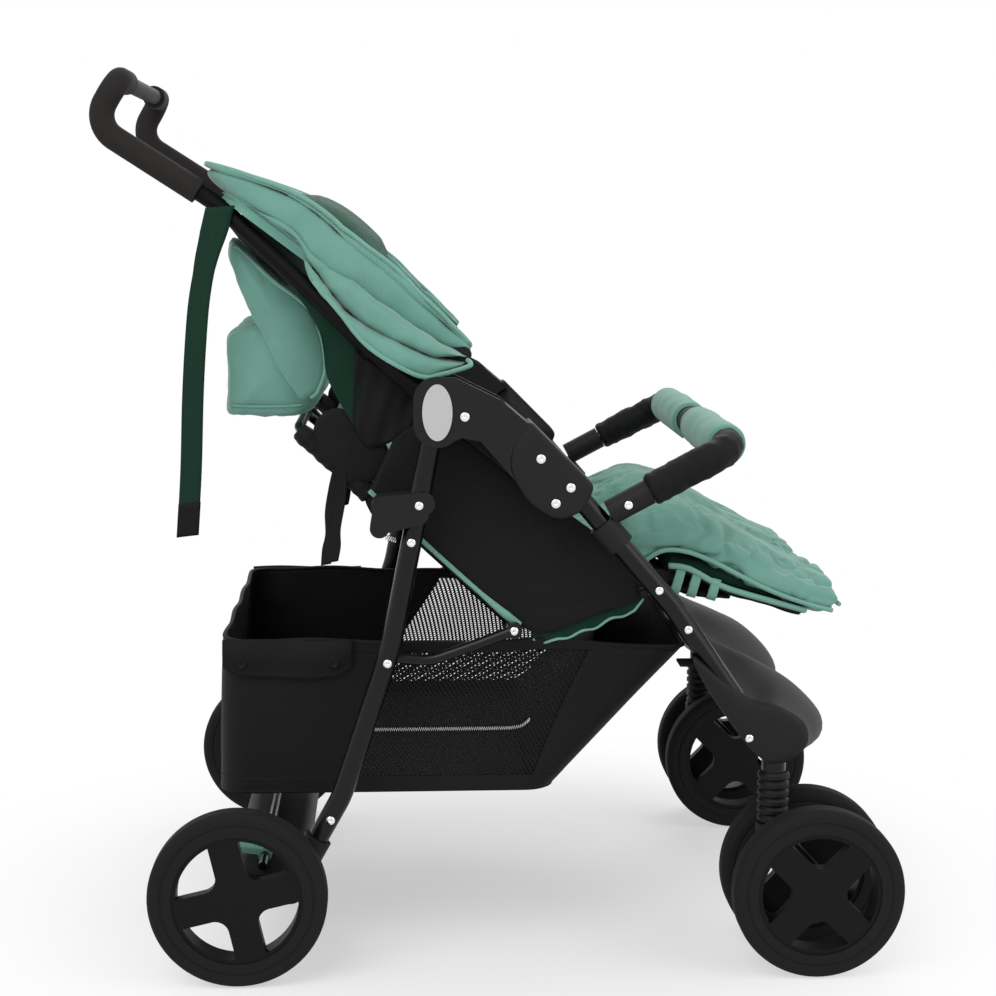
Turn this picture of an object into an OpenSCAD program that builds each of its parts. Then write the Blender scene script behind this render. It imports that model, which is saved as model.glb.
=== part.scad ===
// Side-by-side twin pram: a folding tube frame with two seats under one hood.
// Millimetres. +X is forward, +Y is the left side, +Z is up, and the wheels stand on Z = 0.

/* [Wheels] */
// Diameter of the rear wheels
rear_wheel_d = 206; // [190:1:215]
// Diameter of the front wheels
front_wheel_d = 200; // [185:1:204]
// Radial height of the foam tyre
tyre_h = 28; // [22:1:32]
// Width of every wheel
wheel_w = 34; // [28:1:36]
// Width of a spoke of the cross-shaped hub
spoke_w = 35; // [26:1:38]
// Diameter of the wheel axles
axle_d = 10; // [8:0.5:12]
// Distance from a rear leg to the middle of its wheel
rear_wheel_gap = 38.5; // [34:0.5:50]
// Distance between the two wheels of one caster
caster_pair = 92; // [86:1:96]
// Distance from a swivel axis to the axle of its wheels
caster_trail = 46; // [38:1:50]

/* [Frame] */
// Distance from the outer edge of a seat to the front leg beside it
frame_gap = 56; // [54:0.5:64]
// Rear axle position along X
rear_axle_x = -302; // [-310:1:-296]
// Swivel axis position along X
swivel_x = 322; // [318:1:326]
// Fold pivot position along X
pivot_x = -71; // [-74:1:-68]
// Fold pivot position along Z
pivot_z = 657; // [652:1:664]
// Diameter of the front and rear leg tubes
leg_d = 24; // [20:0.5:24.5]
// Diameter of the push tube
push_d = 20; // [16:0.5:21]
// Diameter of the pins at the fold pivots
pin_d = 10; // [8:0.5:12]
// Diameter of the cross tubes that carry the seats
cross_d = 16; // [12:0.5:17]
// Diameter of the curved link bars
link_d = 13; // [10:0.5:13.5]

/* [Handle and bumper] */
// Half of the distance between the straight sides of the handle
handle_half = 211; // [204:1:216]
// Outer diameter of the foam grips
grip_d = 29; // [25:0.5:31]
// Length of the bare bar in the middle of the handle
bare_bar = 280; // [200:5:320]
// Diameter of the bumper tube
bumper_d = 16; // [13:0.5:18]
// Outer diameter of the padded bumper arms
bumper_pad_d = 40; // [34:1:42]
// Outer diameter of the bumper sleeves
sleeve_d = 50; // [44:1:54]
// Gap between the two bumper sleeves
sleeve_gap = 26; // [10:1:60]

/* [Seats] */
// Width of one seat cushion
seat_w = 230; // [190:1:270]
// Gap between the two seats
seat_gap = 28; // [26:1:40]
// Height of the seat cushions at their edge
seat_t = 34; // [24:1:40]
// Length of the backrest tubes above the recline axis
back_len = 347; // [325:1:350]
// Tilt of the backrest from level
back_tilt = 43; // [41:1:45]
// Height of the backrest cushions at their edge
back_t = 24; // [16:1:30]
// Height of the leg rest cushions at their edge
legrest_t = 18; // [12:1:24]
// Length of the leg rest cushions
legrest_len = 224; // [190:1:226]
// Slope of the leg rest below level
legrest_slope = 16; // [12:1:18]

/* [Hood and basket] */
// Gap between the hood and its brackets
hood_gap = 1; // [0.5:0.5:6]
// Depth of a hood pleat across the pram
hood_leaf = 24; // [18:1:26]
// Gap between the basket and the link bars
basket_gap = 18; // [12:1:30]
// Wall of the basket
basket_wall = 3; // [2:0.5:5]
// Height of the basket floor above the ground
basket_floor_z = 200; // [196:1:215]
// Height of the basket rim above the ground
basket_rim_z = 383; // [370:1:386]

/* [Hidden] */
$fn = 48;
run_fit = 0.05;
bend_swell = 0.1;
bend_lap = 0.5;
seat_fit = 0.3;
seam = 0.4;
rear_r = rear_wheel_d / 2;
front_r = front_wheel_d / 2;
seat_in = seat_gap / 2;
seat_out = seat_in + seat_w;
front_y = seat_out + frame_gap;
caster_x = swivel_x + caster_trail;
pivot = [pivot_x, pivot_z];

// Layers of the fold hinge, from the outside in
cover_wall = 7;
inner_wall = 5;
boss_gap = 0.5;
rear_leg_y = front_y + 6.5;
rear_y = rear_leg_y + rear_wheel_gap;
cover_out_y = rear_leg_y + leg_d / 2 + boss_gap + cover_wall;
push_y = rear_leg_y - leg_d / 2 - boss_gap - push_d / 2 - 1;
push_boss = push_d + 2;
cover_in_y = push_y - push_boss / 2 - boss_gap - inner_wall;
boss_r = 18;
panel_t = 3;
panel_y = cover_in_y - 1.5;

// Side view of the legs and of the seat frame
front_knee = [swivel_x - 122, 430];
front_top = front_knee + [-122, 143];
front_foot = [swivel_x, 250];
leg_bend = 120;
leg_up = (front_knee - front_top) / norm(front_knee - front_top);
leg_dir = (front_foot - front_knee) / norm(front_foot - front_knee);
rear_knee = pivot + [-54, -272];
rear_shin = pivot + [-112, -447];
rear_foot = [rear_axle_x + 57, 100];
rear_tube = [18, 398];
front_tube = [front_knee[0] - 16.2, front_knee[1] + 19];
seat_run = front_tube - rear_tube;
seat_tilt = atan2(seat_run[1], seat_run[0]);
rail_d = 12;
rail_y = panel_y - panel_t - 1.5 - rail_d / 2;
ring_d = cross_d + 8;
ring_w = 16;
back_tube_d = 12;
back_bend = 30;

// Hood edges in the side view, from the pivot to the tip
hood_pivot = pivot + [32, 61];
hood_low = [[-8, -6], [-38, -14], [-72, 0], [-111, 25], [-146, 64], [-174, 99], [-196, 136], [-252, 170], [-281, 186]];
hood_top = [[-2, 9], [-13, 31], [-51, 72], [-91, 122], [-140, 166], [-186, 189], [-242, 206], [-276, 215], [-310, 222]];
hood_split = 0.42;
hood_cuts = [0, 0.22, hood_split, 0.62, 0.82, 1];
hood_tip_r = 268;
hood_eye_r = 11;
hood_pin_d = 10;

// Bumper route in the side view
bumper_dir = [0.884, 0.468];
bumper_root = front_top + [54, -31.7];
bumper_plug = 8;
socket_len = 46;
bumper_reach = 152;
bumper_bar = bumper_root + bumper_dir * bumper_reach;
bumper_turn = 34;

plastic = "#2b2b2d";
steel = "#1f1f21";
rubber = "#353537";
silver = "#b9babd";
green = "#6fa393";
deep_green = "#123c2e";
cloth_black = "#161617";

// Helpers

// A point of the side view placed at a given Y
function at(p, y) = [p[0], y, p[1]];
function mix(a, b, f) = a * (1 - f) + b * f;
function reversed(list) = [for (i = [len(list) - 1:-1:0]) list[i]];

// Both sides of the pram: right as drawn, left mirrored
module side(left) {
    if (left) mirror([0, 1, 0]) children();
    else children();
}

module pair() {
    for (left = [false, true]) side(left) children();
}

// A round bar between two points
module rod(a, b, d) {
    v = b - a;
    length = norm(v);
    translate(a) rotate([0, acos(v[2] / length), atan2(v[1], v[0])]) cylinder(d = d, h = length);
}

function unit(v) = v / norm(v);

// Straight length that a bend of radius r takes from each side of a corner
function bend_cut(a, p, b, r) = r * tan(acos(unit(p - a) * unit(b - p)) / 2);

// A round elbow at the corner p between the points a and b, a hair wider than the tube and lapped over its ends
module elbow(a, p, b, r, d) {
    u = unit(p - a);
    w = unit(b - p);
    n = unit(w - u * (u * w));
    c = p - u * bend_cut(a, p, b, r) + n * r;
    k = cross(-n, u);
    lap = bend_lap / r * 180 / PI;
    multmatrix([[-n[0], u[0], k[0], c[0]], [-n[1], u[1], k[1], c[1]], [-n[2], u[2], k[2], c[2]]])
        rotate([0, 0, -lap]) rotate_extrude(angle = acos(u * w) + 2 * lap)
            translate([r, 0]) circle(d = d + bend_swell);
}

// A bent tube along a list of points, with one bend radius for each point in between
module bent(points, radii, d) {
    last = len(points) - 1;
    function cut(i) = i == 0 || i == last ? 0 : bend_cut(points[i - 1], points[i], points[i + 1], radii[i - 1]);
    for (i = [0:last - 1]) {
        u = unit(points[i + 1] - points[i]);
        rod(points[i] + u * cut(i), points[i + 1] - u * cut(i + 1), d);
    }
    for (i = [1:last - 1]) elbow(points[i - 1], points[i], points[i + 1], radii[i - 1], d);
}

// A side-view outline drawn out along Y, from y0 to y1
module drawn(y0, y1) {
    translate([0, y1, 0]) rotate([90, 0, 0]) linear_extrude(y1 - y0) children();
}

// A round bar along Y at a point of the side view
module cross_bar(p, y0, y1, d) {
    translate([p[0], y0, p[1]]) rotate([-90, 0, 0]) cylinder(d = d, h = y1 - y0);
}

// A flat bar with round ends between two points of the side view
module slug(a, b, r) {
    v = b - a;
    n = [-v[1], v[0]] / norm(v) * r;
    translate(a) circle(r);
    translate(b) circle(r);
    polygon([a + n, a - n, b - n, b + n]);
}

// A padded cushion: crowned above, drawn in between its corners, and lifted along its length by an arch,
// a list of [share of the length, lift]
module cushion(length, width, edge, crown, pull, arch = [[0, 0], [1, 0]], nu = 18, nv = 12) {
    function half(t) = sqrt(max(0, 1 - pow(abs(2 * t - 1), 3)));
    function place(u, v, z) = [
        length * u + (1 - 2 * u) * pull * sin(180 * v),
        (v - 0.5) * (width - 2 * pull * sin(180 * u)),
        z + lookup(u, arch)];
    top = [for (i = [0:nu]) for (j = [0:nv]) let (u = i / nu, v = j / nv)
        place(u, v, edge + crown * half(u) * half(v))];
    low = [for (i = [0:nu]) for (j = [0:nv]) place(i / nu, j / nv, 0)];
    n = len(top);
    row = nv + 1;
    function quad(a, b, c, d) = [[a, b, c], [a, c, d]];
    skin = [for (i = [0:nu - 1]) for (j = [0:nv - 1]) let (a = i * row + j)
        each quad(a, a + 1, a + row + 1, a + row)];
    base = [for (f = skin) [f[0] + n, f[2] + n, f[1] + n]];
    rim = concat([for (j = [0:nv]) j], [for (i = [1:nu]) i * row + nv],
        [for (j = [nv - 1:-1:0]) nu * row + j], [for (i = [nu - 1:-1:1]) i * row]);
    wall = [for (k = [0:len(rim) - 1]) let (a = rim[k], b = rim[(k + 1) % len(rim)])
        each quad(b, a, a + n, b + n)];
    polyhedron(concat(top, low), concat(skin, base, wall));
}

// A coil spring of round wire from the origin along X, as one unbroken tube
module coil(length, r, wire_d, turns) {
    rings = 8;
    sides = 6;
    steps = turns * rings;
    function axis_point(k) = [length * k / steps, r * cos(360 * k / rings), r * sin(360 * k / rings)];
    function wire_dir(k) = unit([length / steps, -r * sin(360 * k / rings) * 2 * PI / rings,
        r * cos(360 * k / rings) * 2 * PI / rings]);
    function ring(k) = let (out = [0, cos(360 * k / rings), sin(360 * k / rings)], up = cross(wire_dir(k), out))
        [for (j = [0:sides - 1]) axis_point(k) + wire_d / 2 * (out * cos(360 * j / sides) + up * sin(360 * j / sides))];
    points = [for (k = [0:steps]) each ring(k)];
    faces = [for (k = [0:steps - 1]) for (j = [0:sides - 1]) let (a = k * sides + j, b = k * sides + (j + 1) % sides)
        each [[a, b, b + sides], [a, b + sides, a + sides]]];
    start = [for (j = [1:sides - 2]) [0, j + 1, j]];
    end = [for (j = [1:sides - 2]) let (a = steps * sides) [a, a + j, a + j + 1]];
    echo(str("least gap between curls, mm: ", length / turns - wire_d));
    polyhedron(points, concat(faces, start, end));
}

// Fold hinge

arm_top = [pivot + [0, 40], pivot + [21, 39], pivot + [71, 14], pivot + [105, -15], pivot + [134, -44]];
arm_low = [pivot + [0, -40], pivot + [28, -29], pivot + [49, -33], pivot + [88, -78], pivot + [112, -95]];
arm_rim = 0.14;
arm_rim_x = pivot_x + 78;
badge_w = 34;
badge_h = 64;
badge_t = 2;

module hinge_end() {
    slug(pivot + [0, -13], pivot + [0, 13], 27);
}

module arm_outline() {
    hinge_end();
    polygon(concat(arm_top, reversed(arm_low)));
}

module arm_rim_outline() {
    inner = [for (i = [0:len(arm_top) - 1]) mix(arm_top[i], arm_low[i], arm_rim)];
    outer = [for (i = [0:len(arm_top) - 1]) mix(arm_low[i], arm_top[i], arm_rim)];
    intersection() {
        difference() {
            polygon(concat(arm_top, reversed(arm_low)));
            polygon(concat(inner, reversed(outer)));
        }
        translate([arm_rim_x, pivot_z - 200]) square([200, 300]);
    }
}

module knuckle_outline(grow) {
    slug(pivot + [122, -57], pivot + [145, -86], 39 + grow);
}

module hinge_cover(left) {
    color(plastic) side(left) difference() {
        union() {
            drawn(-cover_out_y, -cover_out_y + cover_wall) arm_outline();
            drawn(-cover_in_y - inner_wall, -cover_in_y) arm_outline();
            drawn(-cover_out_y, -cover_in_y) arm_rim_outline();
        }
        drawn(-cover_out_y - 1, -cover_in_y + 1) knuckle_outline(seam);
        cross_bar(pivot, -cover_out_y - 1, -cover_in_y + 1, pin_d + 2 * run_fit);
    }
}

module leg_knuckle(left) {
    color(plastic) side(left) difference() {
        drawn(-cover_out_y, -cover_in_y - inner_wall) knuckle_outline(0);
        rod(at(front_top - leg_up * seat_fit, -front_y), at(front_knee, -front_y), leg_d + 2 * run_fit);
    }
}

module oval_badges() {
    color(silver) pair() drawn(-cover_out_y - badge_t - run_fit, -cover_out_y - run_fit)
        translate(pivot) polygon([for (a = [0:7.5:352.5]) [badge_w / 2 * cos(a), badge_h / 2 * sin(a)]]);
}

module hinge_pins() {
    color(steel) pair() cross_bar(pivot, -cover_out_y + 0.5, -cover_in_y, pin_d);
}

// Front legs, step and casters

stem_d = 12;
socket_r = 14;
socket_top = 262;
socket_low = 206;
boot_r = 18.5;
boot_rib = 2.6;
boot_ribs = 6;
boot_top = 232;
crown_z = 170;
crown_r = 20;
fork_w = 26;

module front_leg(left) {
    color(steel) side(left) difference() {
        union() {
            bent([at(front_top, -front_y), at(front_knee, -front_y), at(front_foot, -front_y)], [leg_bend], leg_d);
            translate([swivel_x, -front_y, socket_low]) cylinder(r = socket_r, h = socket_top - socket_low);
        }
        translate([swivel_x, -front_y, socket_low - 1])
            cylinder(d = stem_d + 2 * run_fit, h = socket_top - socket_low - 3);
    }
}

step_pad_r = 162;
step_wall = 4;
step_top = [[-94, 130], [-50, 112], [-16, 102], [18, 87], [40, 66], [54, 38]];
step_low = [[46, 18], [29, 9], [-19, 2], [-40, 22]];
step_clamp_d = 34;

module step_outline() {
    translate([swivel_x, 250]) polygon(concat(step_top, step_low));
}

module step_hollow() {
    translate([swivel_x - step_wall, 250 - step_wall * 1.6])
        polygon(concat([for (p = step_top) p * 0.94], [[44, -12], [-60, -12]]));
}

module step_pad() {
    mid_y = (seat_in + front_y) / 2 - 4;
    translate([swivel_x - 107, -mid_y, 200]) cylinder(r = step_pad_r, h = 220, $fn = 96);
}

module step_pad_hollow() {
    mid_y = (seat_in + front_y) / 2 - 4;
    translate([swivel_x - 107, -mid_y, 200]) cylinder(r = step_pad_r - step_wall, h = 220, $fn = 96);
}

// Moulded foot board: two domed pads, hollow below, clamped on both front legs
module front_step() {
    y_out = front_y - leg_d / 2 - 4;
    clamp_a = front_knee + leg_dir * 84;
    clamp_b = front_knee + leg_dir * 176;
    color(plastic) difference() {
        union() {
            pair() difference() {
                intersection() {
                    drawn(-y_out, 0) step_outline();
                    step_pad();
                }
                intersection() {
                    drawn(-y_out + step_wall, 0.1) step_hollow();
                    step_pad_hollow();
                }
            }
            pair() rod(at(clamp_a, -front_y), at(clamp_b, -front_y), step_clamp_d);
        }
        pair() rod(at(front_knee, -front_y), at(front_foot, -front_y), leg_d + 2 * run_fit);
    }
}

module boot(left) {
    pitch = (boot_top - crown_z - seat_fit) / boot_ribs;
    outline = concat([[socket_r + seat_fit, boot_top], [socket_r + seat_fit, crown_z + seat_fit]],
        [for (i = [0:boot_ribs - 1]) each [
            [boot_r - boot_rib, crown_z + seat_fit + pitch * (i + 0.02)],
            [boot_r, crown_z + seat_fit + pitch * (i + 0.3)],
            [boot_r, crown_z + seat_fit + pitch * (i + 0.7)],
            [boot_r - boot_rib, crown_z + seat_fit + pitch * (i + 0.98)]]]);
    color(rubber) side(left) translate([swivel_x, -front_y, 0]) rotate_extrude() polygon(outline);
}

module caster_fork(left) {
    axle = [caster_x, front_r];
    color(plastic) side(left) difference() {
        union() {
            translate([swivel_x, -front_y, crown_z - 24]) cylinder(r = crown_r, h = 24);
            translate([swivel_x, -front_y, crown_z - 1]) cylinder(d = stem_d, h = socket_top - crown_z - 5);
            drawn(-front_y - fork_w / 2, -front_y + fork_w / 2)
                slug([swivel_x + 2, crown_z - 22], axle, crown_r - 2);
        }
        cross_bar(axle, -front_y - fork_w, -front_y + fork_w, axle_d + 2 * run_fit);
    }
}

// Wheels: an open hub with a wide cross and a foam tyre

module spoke_cross(r) {
    fillet = 16;
    reach = spoke_w / 2 + fillet;
    for (a = [0, 90]) rotate(a) {
        translate([-r, -spoke_w / 2]) square([2 * r, spoke_w]);
    }
    difference() {
        square(2 * reach, center = true);
        for (x = [-1, 1], y = [-1, 1]) translate([x * reach, y * reach]) circle(fillet);
    }
}

// Drawn on the Z axis, outer face up, cross turned by an angle
module hub_shape(d, boss, bore, turn) {
    r = d / 2 - tyre_h;
    rim_t = 5;
    web = 15;
    difference() {
        union() {
            difference() {
                cylinder(r = r, h = wheel_w - 4, center = true, $fn = 96);
                cylinder(r = r - rim_t, h = wheel_w, center = true, $fn = 96);
            }
            intersection() {
                translate([0, 0, wheel_w / 2 - 2 - web]) linear_extrude(web) rotate(turn) spoke_cross(r);
                cylinder(r = r - rim_t / 2, h = wheel_w, center = true, $fn = 96);
            }
            translate([0, 0, -boss]) cylinder(r = 15, h = boss + wheel_w / 2 - 3);
        }
        translate([0, 0, -boss - 1]) cylinder(d = bore + 2 * run_fit, h = boss + wheel_w / 2 - 7);
    }
}

module tyre_shape(d) {
    r0 = d / 2 - tyre_h + run_fit;
    r1 = d / 2;
    w = wheel_w / 2;
    shoulder = 9;
    rotate_extrude($fn = 96) difference() {
        union() {
            translate([r0, -w]) square([tyre_h - shoulder, wheel_w]);
            translate([r0, -w + shoulder]) square([tyre_h - run_fit, wheel_w - 2 * shoulder]);
            for (s = [-1, 1]) translate([r1 - shoulder, s * (w - shoulder)]) circle(shoulder);
        }
        for (s = [-1, 1]) translate([r0 + tyre_h * 0.45, s * (w + 1)]) circle(2.2);
    }
}

// Places a wheel shape on its axle, outer face away from the pram
module wheel_at(p, y) {
    translate([p[0], y, p[1]]) rotate([90, 0, 0]) children();
}

rear_turn = 13;
front_turn = 45;
rear_boss = wheel_w / 2;
caster_boss = caster_pair / 2 - fork_w / 2 - 1;

module rear_hub(left) {
    color(plastic) side(left) wheel_at([rear_axle_x, rear_r], -rear_y)
        hub_shape(rear_wheel_d, rear_boss, axle_d, rear_turn);
}

module rear_tyre(left) {
    color(rubber) side(left) wheel_at([rear_axle_x, rear_r], -rear_y) tyre_shape(rear_wheel_d);
}

// Both hubs of a caster with the axle that turns with them
module caster_hubs(left) {
    axle = [caster_x, front_r];
    color(plastic) side(left) {
        wheel_at(axle, -front_y - caster_pair / 2)
            hub_shape(front_wheel_d, caster_boss, axle_d - 2 * run_fit, front_turn);
        mirror_at(-front_y) wheel_at(axle, -front_y - caster_pair / 2)
            hub_shape(front_wheel_d, caster_boss, axle_d - 2 * run_fit, front_turn);
        cross_bar(axle, -front_y - caster_pair / 2 - 9, -front_y + caster_pair / 2 + 9, axle_d);
    }
}

module caster_tyres(left) {
    axle = [caster_x, front_r];
    color(rubber) side(left) for (s = [-1, 1])
        wheel_at(axle, -front_y + s * caster_pair / 2) tyre_shape(front_wheel_d);
}

// Mirrors a shape in the plane at a given Y
module mirror_at(y) {
    translate([0, y, 0]) mirror([0, 1, 0]) translate([0, -y, 0]) children();
}

// Rear frame

beam_r = 18;
beam_low = [rear_axle_x + 4, rear_r + 1];
beam_high = [rear_axle_x + 58, rear_r + 1];
beam_y = rear_y - wheel_w / 2 - 5;
brake_axis = [rear_axle_x + 27, rear_r + 28];
brake_d = 10;
brake_lug_y = beam_y - 143;
brake_lug_w = 14;
axle_seat = 30;

module rear_leg(left) {
    color(steel) side(left) difference() {
        union() {
            bent([at(pivot, -rear_leg_y), at(rear_knee, -rear_leg_y), at(rear_shin, -rear_leg_y),
                at(rear_foot, -rear_leg_y)], [leg_bend, leg_bend], leg_d);
            cross_bar(pivot, -rear_leg_y - leg_d / 2, -rear_leg_y + leg_d / 2, 2 * boss_r);
        }
        cross_bar(pivot, -cover_out_y, -cover_in_y, pin_d + 2 * run_fit);
        cross_bar(link_rear, -rear_leg_y - 3, -cover_in_y, link_pin_d + 2 * run_fit);
    }
}

module rear_axle_beam() {
    color(plastic) difference() {
        union() {
            drawn(-beam_y, beam_y) slug(beam_low, beam_high, beam_r);
            pair() drawn(-brake_lug_y - brake_lug_w / 2, -brake_lug_y + brake_lug_w / 2)
                slug(brake_axis + [0, -16], brake_axis, 9);
            pair() rod(at(mix(rear_foot, rear_shin, 0.12), -rear_leg_y),
                at(mix(rear_foot, rear_shin, 0.55), -rear_leg_y), leg_d + 9);
        }
        pair() rod(at(rear_foot, -rear_leg_y), at(rear_shin, -rear_leg_y), leg_d + 2 * run_fit);
        pair() cross_bar([rear_axle_x, rear_r], -beam_y - 1, -beam_y + axle_seat, axle_d + 2 * run_fit);
        cross_bar(brake_axis, -beam_y, beam_y, brake_d + 2 * run_fit);
    }
}

module rear_axles() {
    out = rear_y + wheel_w / 2 - 8;
    color(silver) pair() cross_bar([rear_axle_x, rear_r], -out, -beam_y + axle_seat - 0.5, axle_d);
}

latch = pivot + [-38, -118];

module latch_brackets() {
    top_y = rear_leg_y + leg_d / 2 + 5;
    low_y = rear_leg_y - leg_d / 2 - 5;
    color(plastic) pair() difference() {
        drawn(-top_y, -low_y) {
            slug(latch + [-24, 10], latch + [22, 14], 13);
            slug(latch + [-28, -14], latch + [-24, 10], 11);
            slug(latch + [-24, -8], latch + [16, 2], 12);
        }
        rod(at(pivot, -rear_leg_y), at(rear_knee, -rear_leg_y), leg_d + 2 * run_fit);
    }
}

spring_turns = 6;
spring_r = 2.6;
spring_wire = 1.4;

// Return spring between each latch and its leg
module latch_springs() {
    from = latch + [-21.8, -25.5];
    to = latch + [-8.8, -30.2];
    v = to - from;
    color(silver) pair() translate(at(from, -rear_leg_y)) rotate([0, -atan2(v[1], v[0]), 0])
        coil(norm(v), spring_r, spring_wire, spring_turns);
}

link_rear = rear_knee + [-4, -17];
link_pin_d = 8;
link_bend = 60;
link_y = cover_in_y + 14;
link_route = [link_rear, link_rear + [49, -5], mix(link_rear, rear_tube, 0.68) + [0, -8], rear_tube];

module link_bars() {
    color(steel) pair() {
        bent([for (p = link_route) at(p, -link_y)], [link_bend, link_bend], link_d);
        for (p = [link_rear, rear_tube]) cross_bar(p, -link_y - link_d / 2 + 1.5, -link_y + link_d / 2 - 1.5, link_d + 6);
        cross_bar(link_rear, -rear_leg_y, -link_y, link_pin_d);
    }
}

module brake_bar() {
    color(steel) cross_bar(brake_axis, -beam_y + 4, beam_y - 4, brake_d);
}

pedal_y = beam_y - 73;
pedal_w = 52;
pedal_t = 7;
pedal_len = 76;

module brake_pedals() {
    color(green) pair() difference() {
        union() {
            cross_bar(brake_axis, -pedal_y - pedal_w / 2, -pedal_y + pedal_w / 2, brake_d + 7);
            drawn(-pedal_y - pedal_w / 2, -pedal_y + pedal_w / 2)
                slug(brake_axis + [-pedal_len, 12], brake_axis + [0, 3], pedal_t / 2);
        }
        cross_bar(brake_axis, -beam_y, beam_y, brake_d + 2 * run_fit);
    }
}

// Seats

module seat_front_tube() {
    reach = front_y - leg_d / 2 - 0.1;
    color(steel) cross_bar(front_tube, -reach, reach, cross_d);
}

module seat_rear_tube() {
    reach = link_y - link_d / 2 - seat_fit;
    color(steel) cross_bar(rear_tube, -reach, reach, cross_d);
}

module seat_rails() {
    d = seat_run / norm(seat_run);
    start = rear_tube + d * (cross_d / 2 + run_fit);
    end = front_tube - d * (cross_d / 2 + run_fit);
    color(steel) for (y = [-rail_y, 0, rail_y]) rod(at(start, y), at(end, y), rail_d);
}

// Turns the seat's own frame, X along the seat and Z square to it, about the rear tube
module on_seat() {
    translate(at(rear_tube, -seat_in - seat_w / 2)) rotate([0, -seat_tilt, 0]) children();
}

board_t = 6;
seat_crown = 24;
cushion_pull = 4;
board_z = cross_d / 2 + seat_fit;
board_from = 30;
board_to = norm(seat_run) - ring_d / 2 - 2;

module seat_board(left) {
    color(cloth_black) side(left) on_seat() translate([board_from, -seat_w / 2, board_z])
        cube([board_to - board_from, seat_w, board_t]);
}

module seat(left) {
    length = norm(seat_run) - board_from + 2;
    color(green) side(left) on_seat() translate([board_from - 4, 0, board_z + board_t + seat_fit])
        cushion(length, seat_w, seat_t, seat_crown, cushion_pull);
}

module side_panel(left) {
    outline = [pivot + [-14, -17], pivot + [31, -35], pivot + [91, -82], pivot + [150, -122],
        front_tube + [-26, 30], front_tube + [-14, -19], rear_tube + [37, -10], rear_tube + [8, 2],
        pivot + [-79, -97], pivot + [-49, -37]];
    color(cloth_black) side(left) difference() {
        drawn(-panel_y, -panel_y + panel_t) polygon(outline);
        cross_bar(rear_tube, -panel_y - 1, -panel_y + panel_t + 1, cross_d + 2 * seat_fit);
    }
}

// Turns the backrest's own frame, X up the back and Z to the front, about the rear tube
module on_back() {
    translate(at(rear_tube, -seat_in - seat_w / 2)) rotate([0, 180 + back_tilt, 0]) mirror([0, 0, 1])
        children();
}

module back_tube(left) {
    reach = seat_w / 2 - ring_w / 2;
    color(steel) side(left) on_back() difference() {
        union() {
            for (s = [-1, 1]) {
                translate([0, s * reach - ring_w / 2, 0]) rotate([-90, 0, 0]) cylinder(d = ring_d, h = ring_w);
            }
            bent([[cross_d / 2 + 2, -reach, 0], [back_len - 6, -reach, 0], [back_len - 6, reach, 0],
                [cross_d / 2 + 2, reach, 0]], [back_bend, back_bend], back_tube_d);
        }
        translate([0, -seat_w, 0]) rotate([-90, 0, 0]) cylinder(d = cross_d + 2 * run_fit, h = 2 * seat_w);
    }
}

back_from = 88;
back_crown = 18;
back_top_gap = 40;

module backrest(left) {
    color(green) side(left) on_back() translate([back_from, 0, back_tube_d / 2 + seat_fit])
        cushion(back_len - back_top_gap - back_from, seat_w - 6, back_t, back_crown, cushion_pull);
}

// Turns the leg rest's own frame, X to the foot end and Z up, about the front tube
module on_legrest() {
    translate(at(front_tube, -seat_in - seat_w / 2)) rotate([0, legrest_slope, 0]) children();
}

legrest_z = ring_d / 2 + 2;
legrest_crown = 18;
legrest_arch = [[0, 22], [0.1, 33], [0.22, 40], [0.36, 38], [0.52, 28], [0.68, 16], [0.82, 6], [0.9, 0], [1, 0]];

module legrest_board(left) {
    reach = seat_w / 2 - ring_w;
    color(cloth_black) side(left) on_legrest() difference() {
        union() {
            for (s = [-1, 1]) {
                translate([0, s * reach - ring_w / 2, 0]) rotate([-90, 0, 0]) cylinder(d = ring_d, h = ring_w);
                translate([0, s * reach - ring_w / 2, 2]) cube([40, ring_w, legrest_z - 2]);
            }
            translate([16, -seat_w / 2 + 6, legrest_z - board_t]) cube([legrest_len - 40, seat_w - 12, board_t]);
        }
        translate([0, -seat_w, 0]) rotate([-90, 0, 0]) cylinder(d = cross_d + 2 * run_fit, h = 2 * seat_w);
    }
}

module legrest(left) {
    color(green) side(left) on_legrest() translate([-4, 0, legrest_z + seat_fit])
        cushion(legrest_len, seat_w, legrest_t, legrest_crown, cushion_pull, legrest_arch);
}

// Basket

basket_half = link_y - link_d / 2 - basket_gap;
basket_rear_x = -326;
basket_front_x = 64;
basket_nose_x = 226;
basket_hook_drop = 62;

module basket_outline(inset, lift) {
    polygon([[basket_rear_x + 4 + inset, basket_rim_z + lift], [basket_rear_x - 4 + inset, basket_floor_z + inset],
        [basket_front_x - inset, basket_floor_z + inset],
        [basket_nose_x - inset + lift, basket_rim_z - 14 + lift]]);
}

module basket() {
    hook = front_knee + leg_dir * basket_hook_drop;
    hook_y = front_y - leg_d / 2 - seat_fit;
    stay_y = link_y - link_d / 2 - seat_fit;
    color(cloth_black) {
        difference() {
            drawn(-basket_half, basket_half) basket_outline(0, 0);
            drawn(-basket_half + basket_wall, basket_half - basket_wall) basket_outline(basket_wall, 60);
        }
        pair() translate([hook[0] - 26, -hook_y, basket_rim_z - 34])
            cube([26, hook_y - basket_half + basket_wall / 2, 14]);
        pair() translate([link_rear[0] + 8, -stay_y, link_rear[1] - 12])
            cube([22, stay_y - basket_half + basket_wall / 2, 14]);
    }
}

// Bumper

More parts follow.
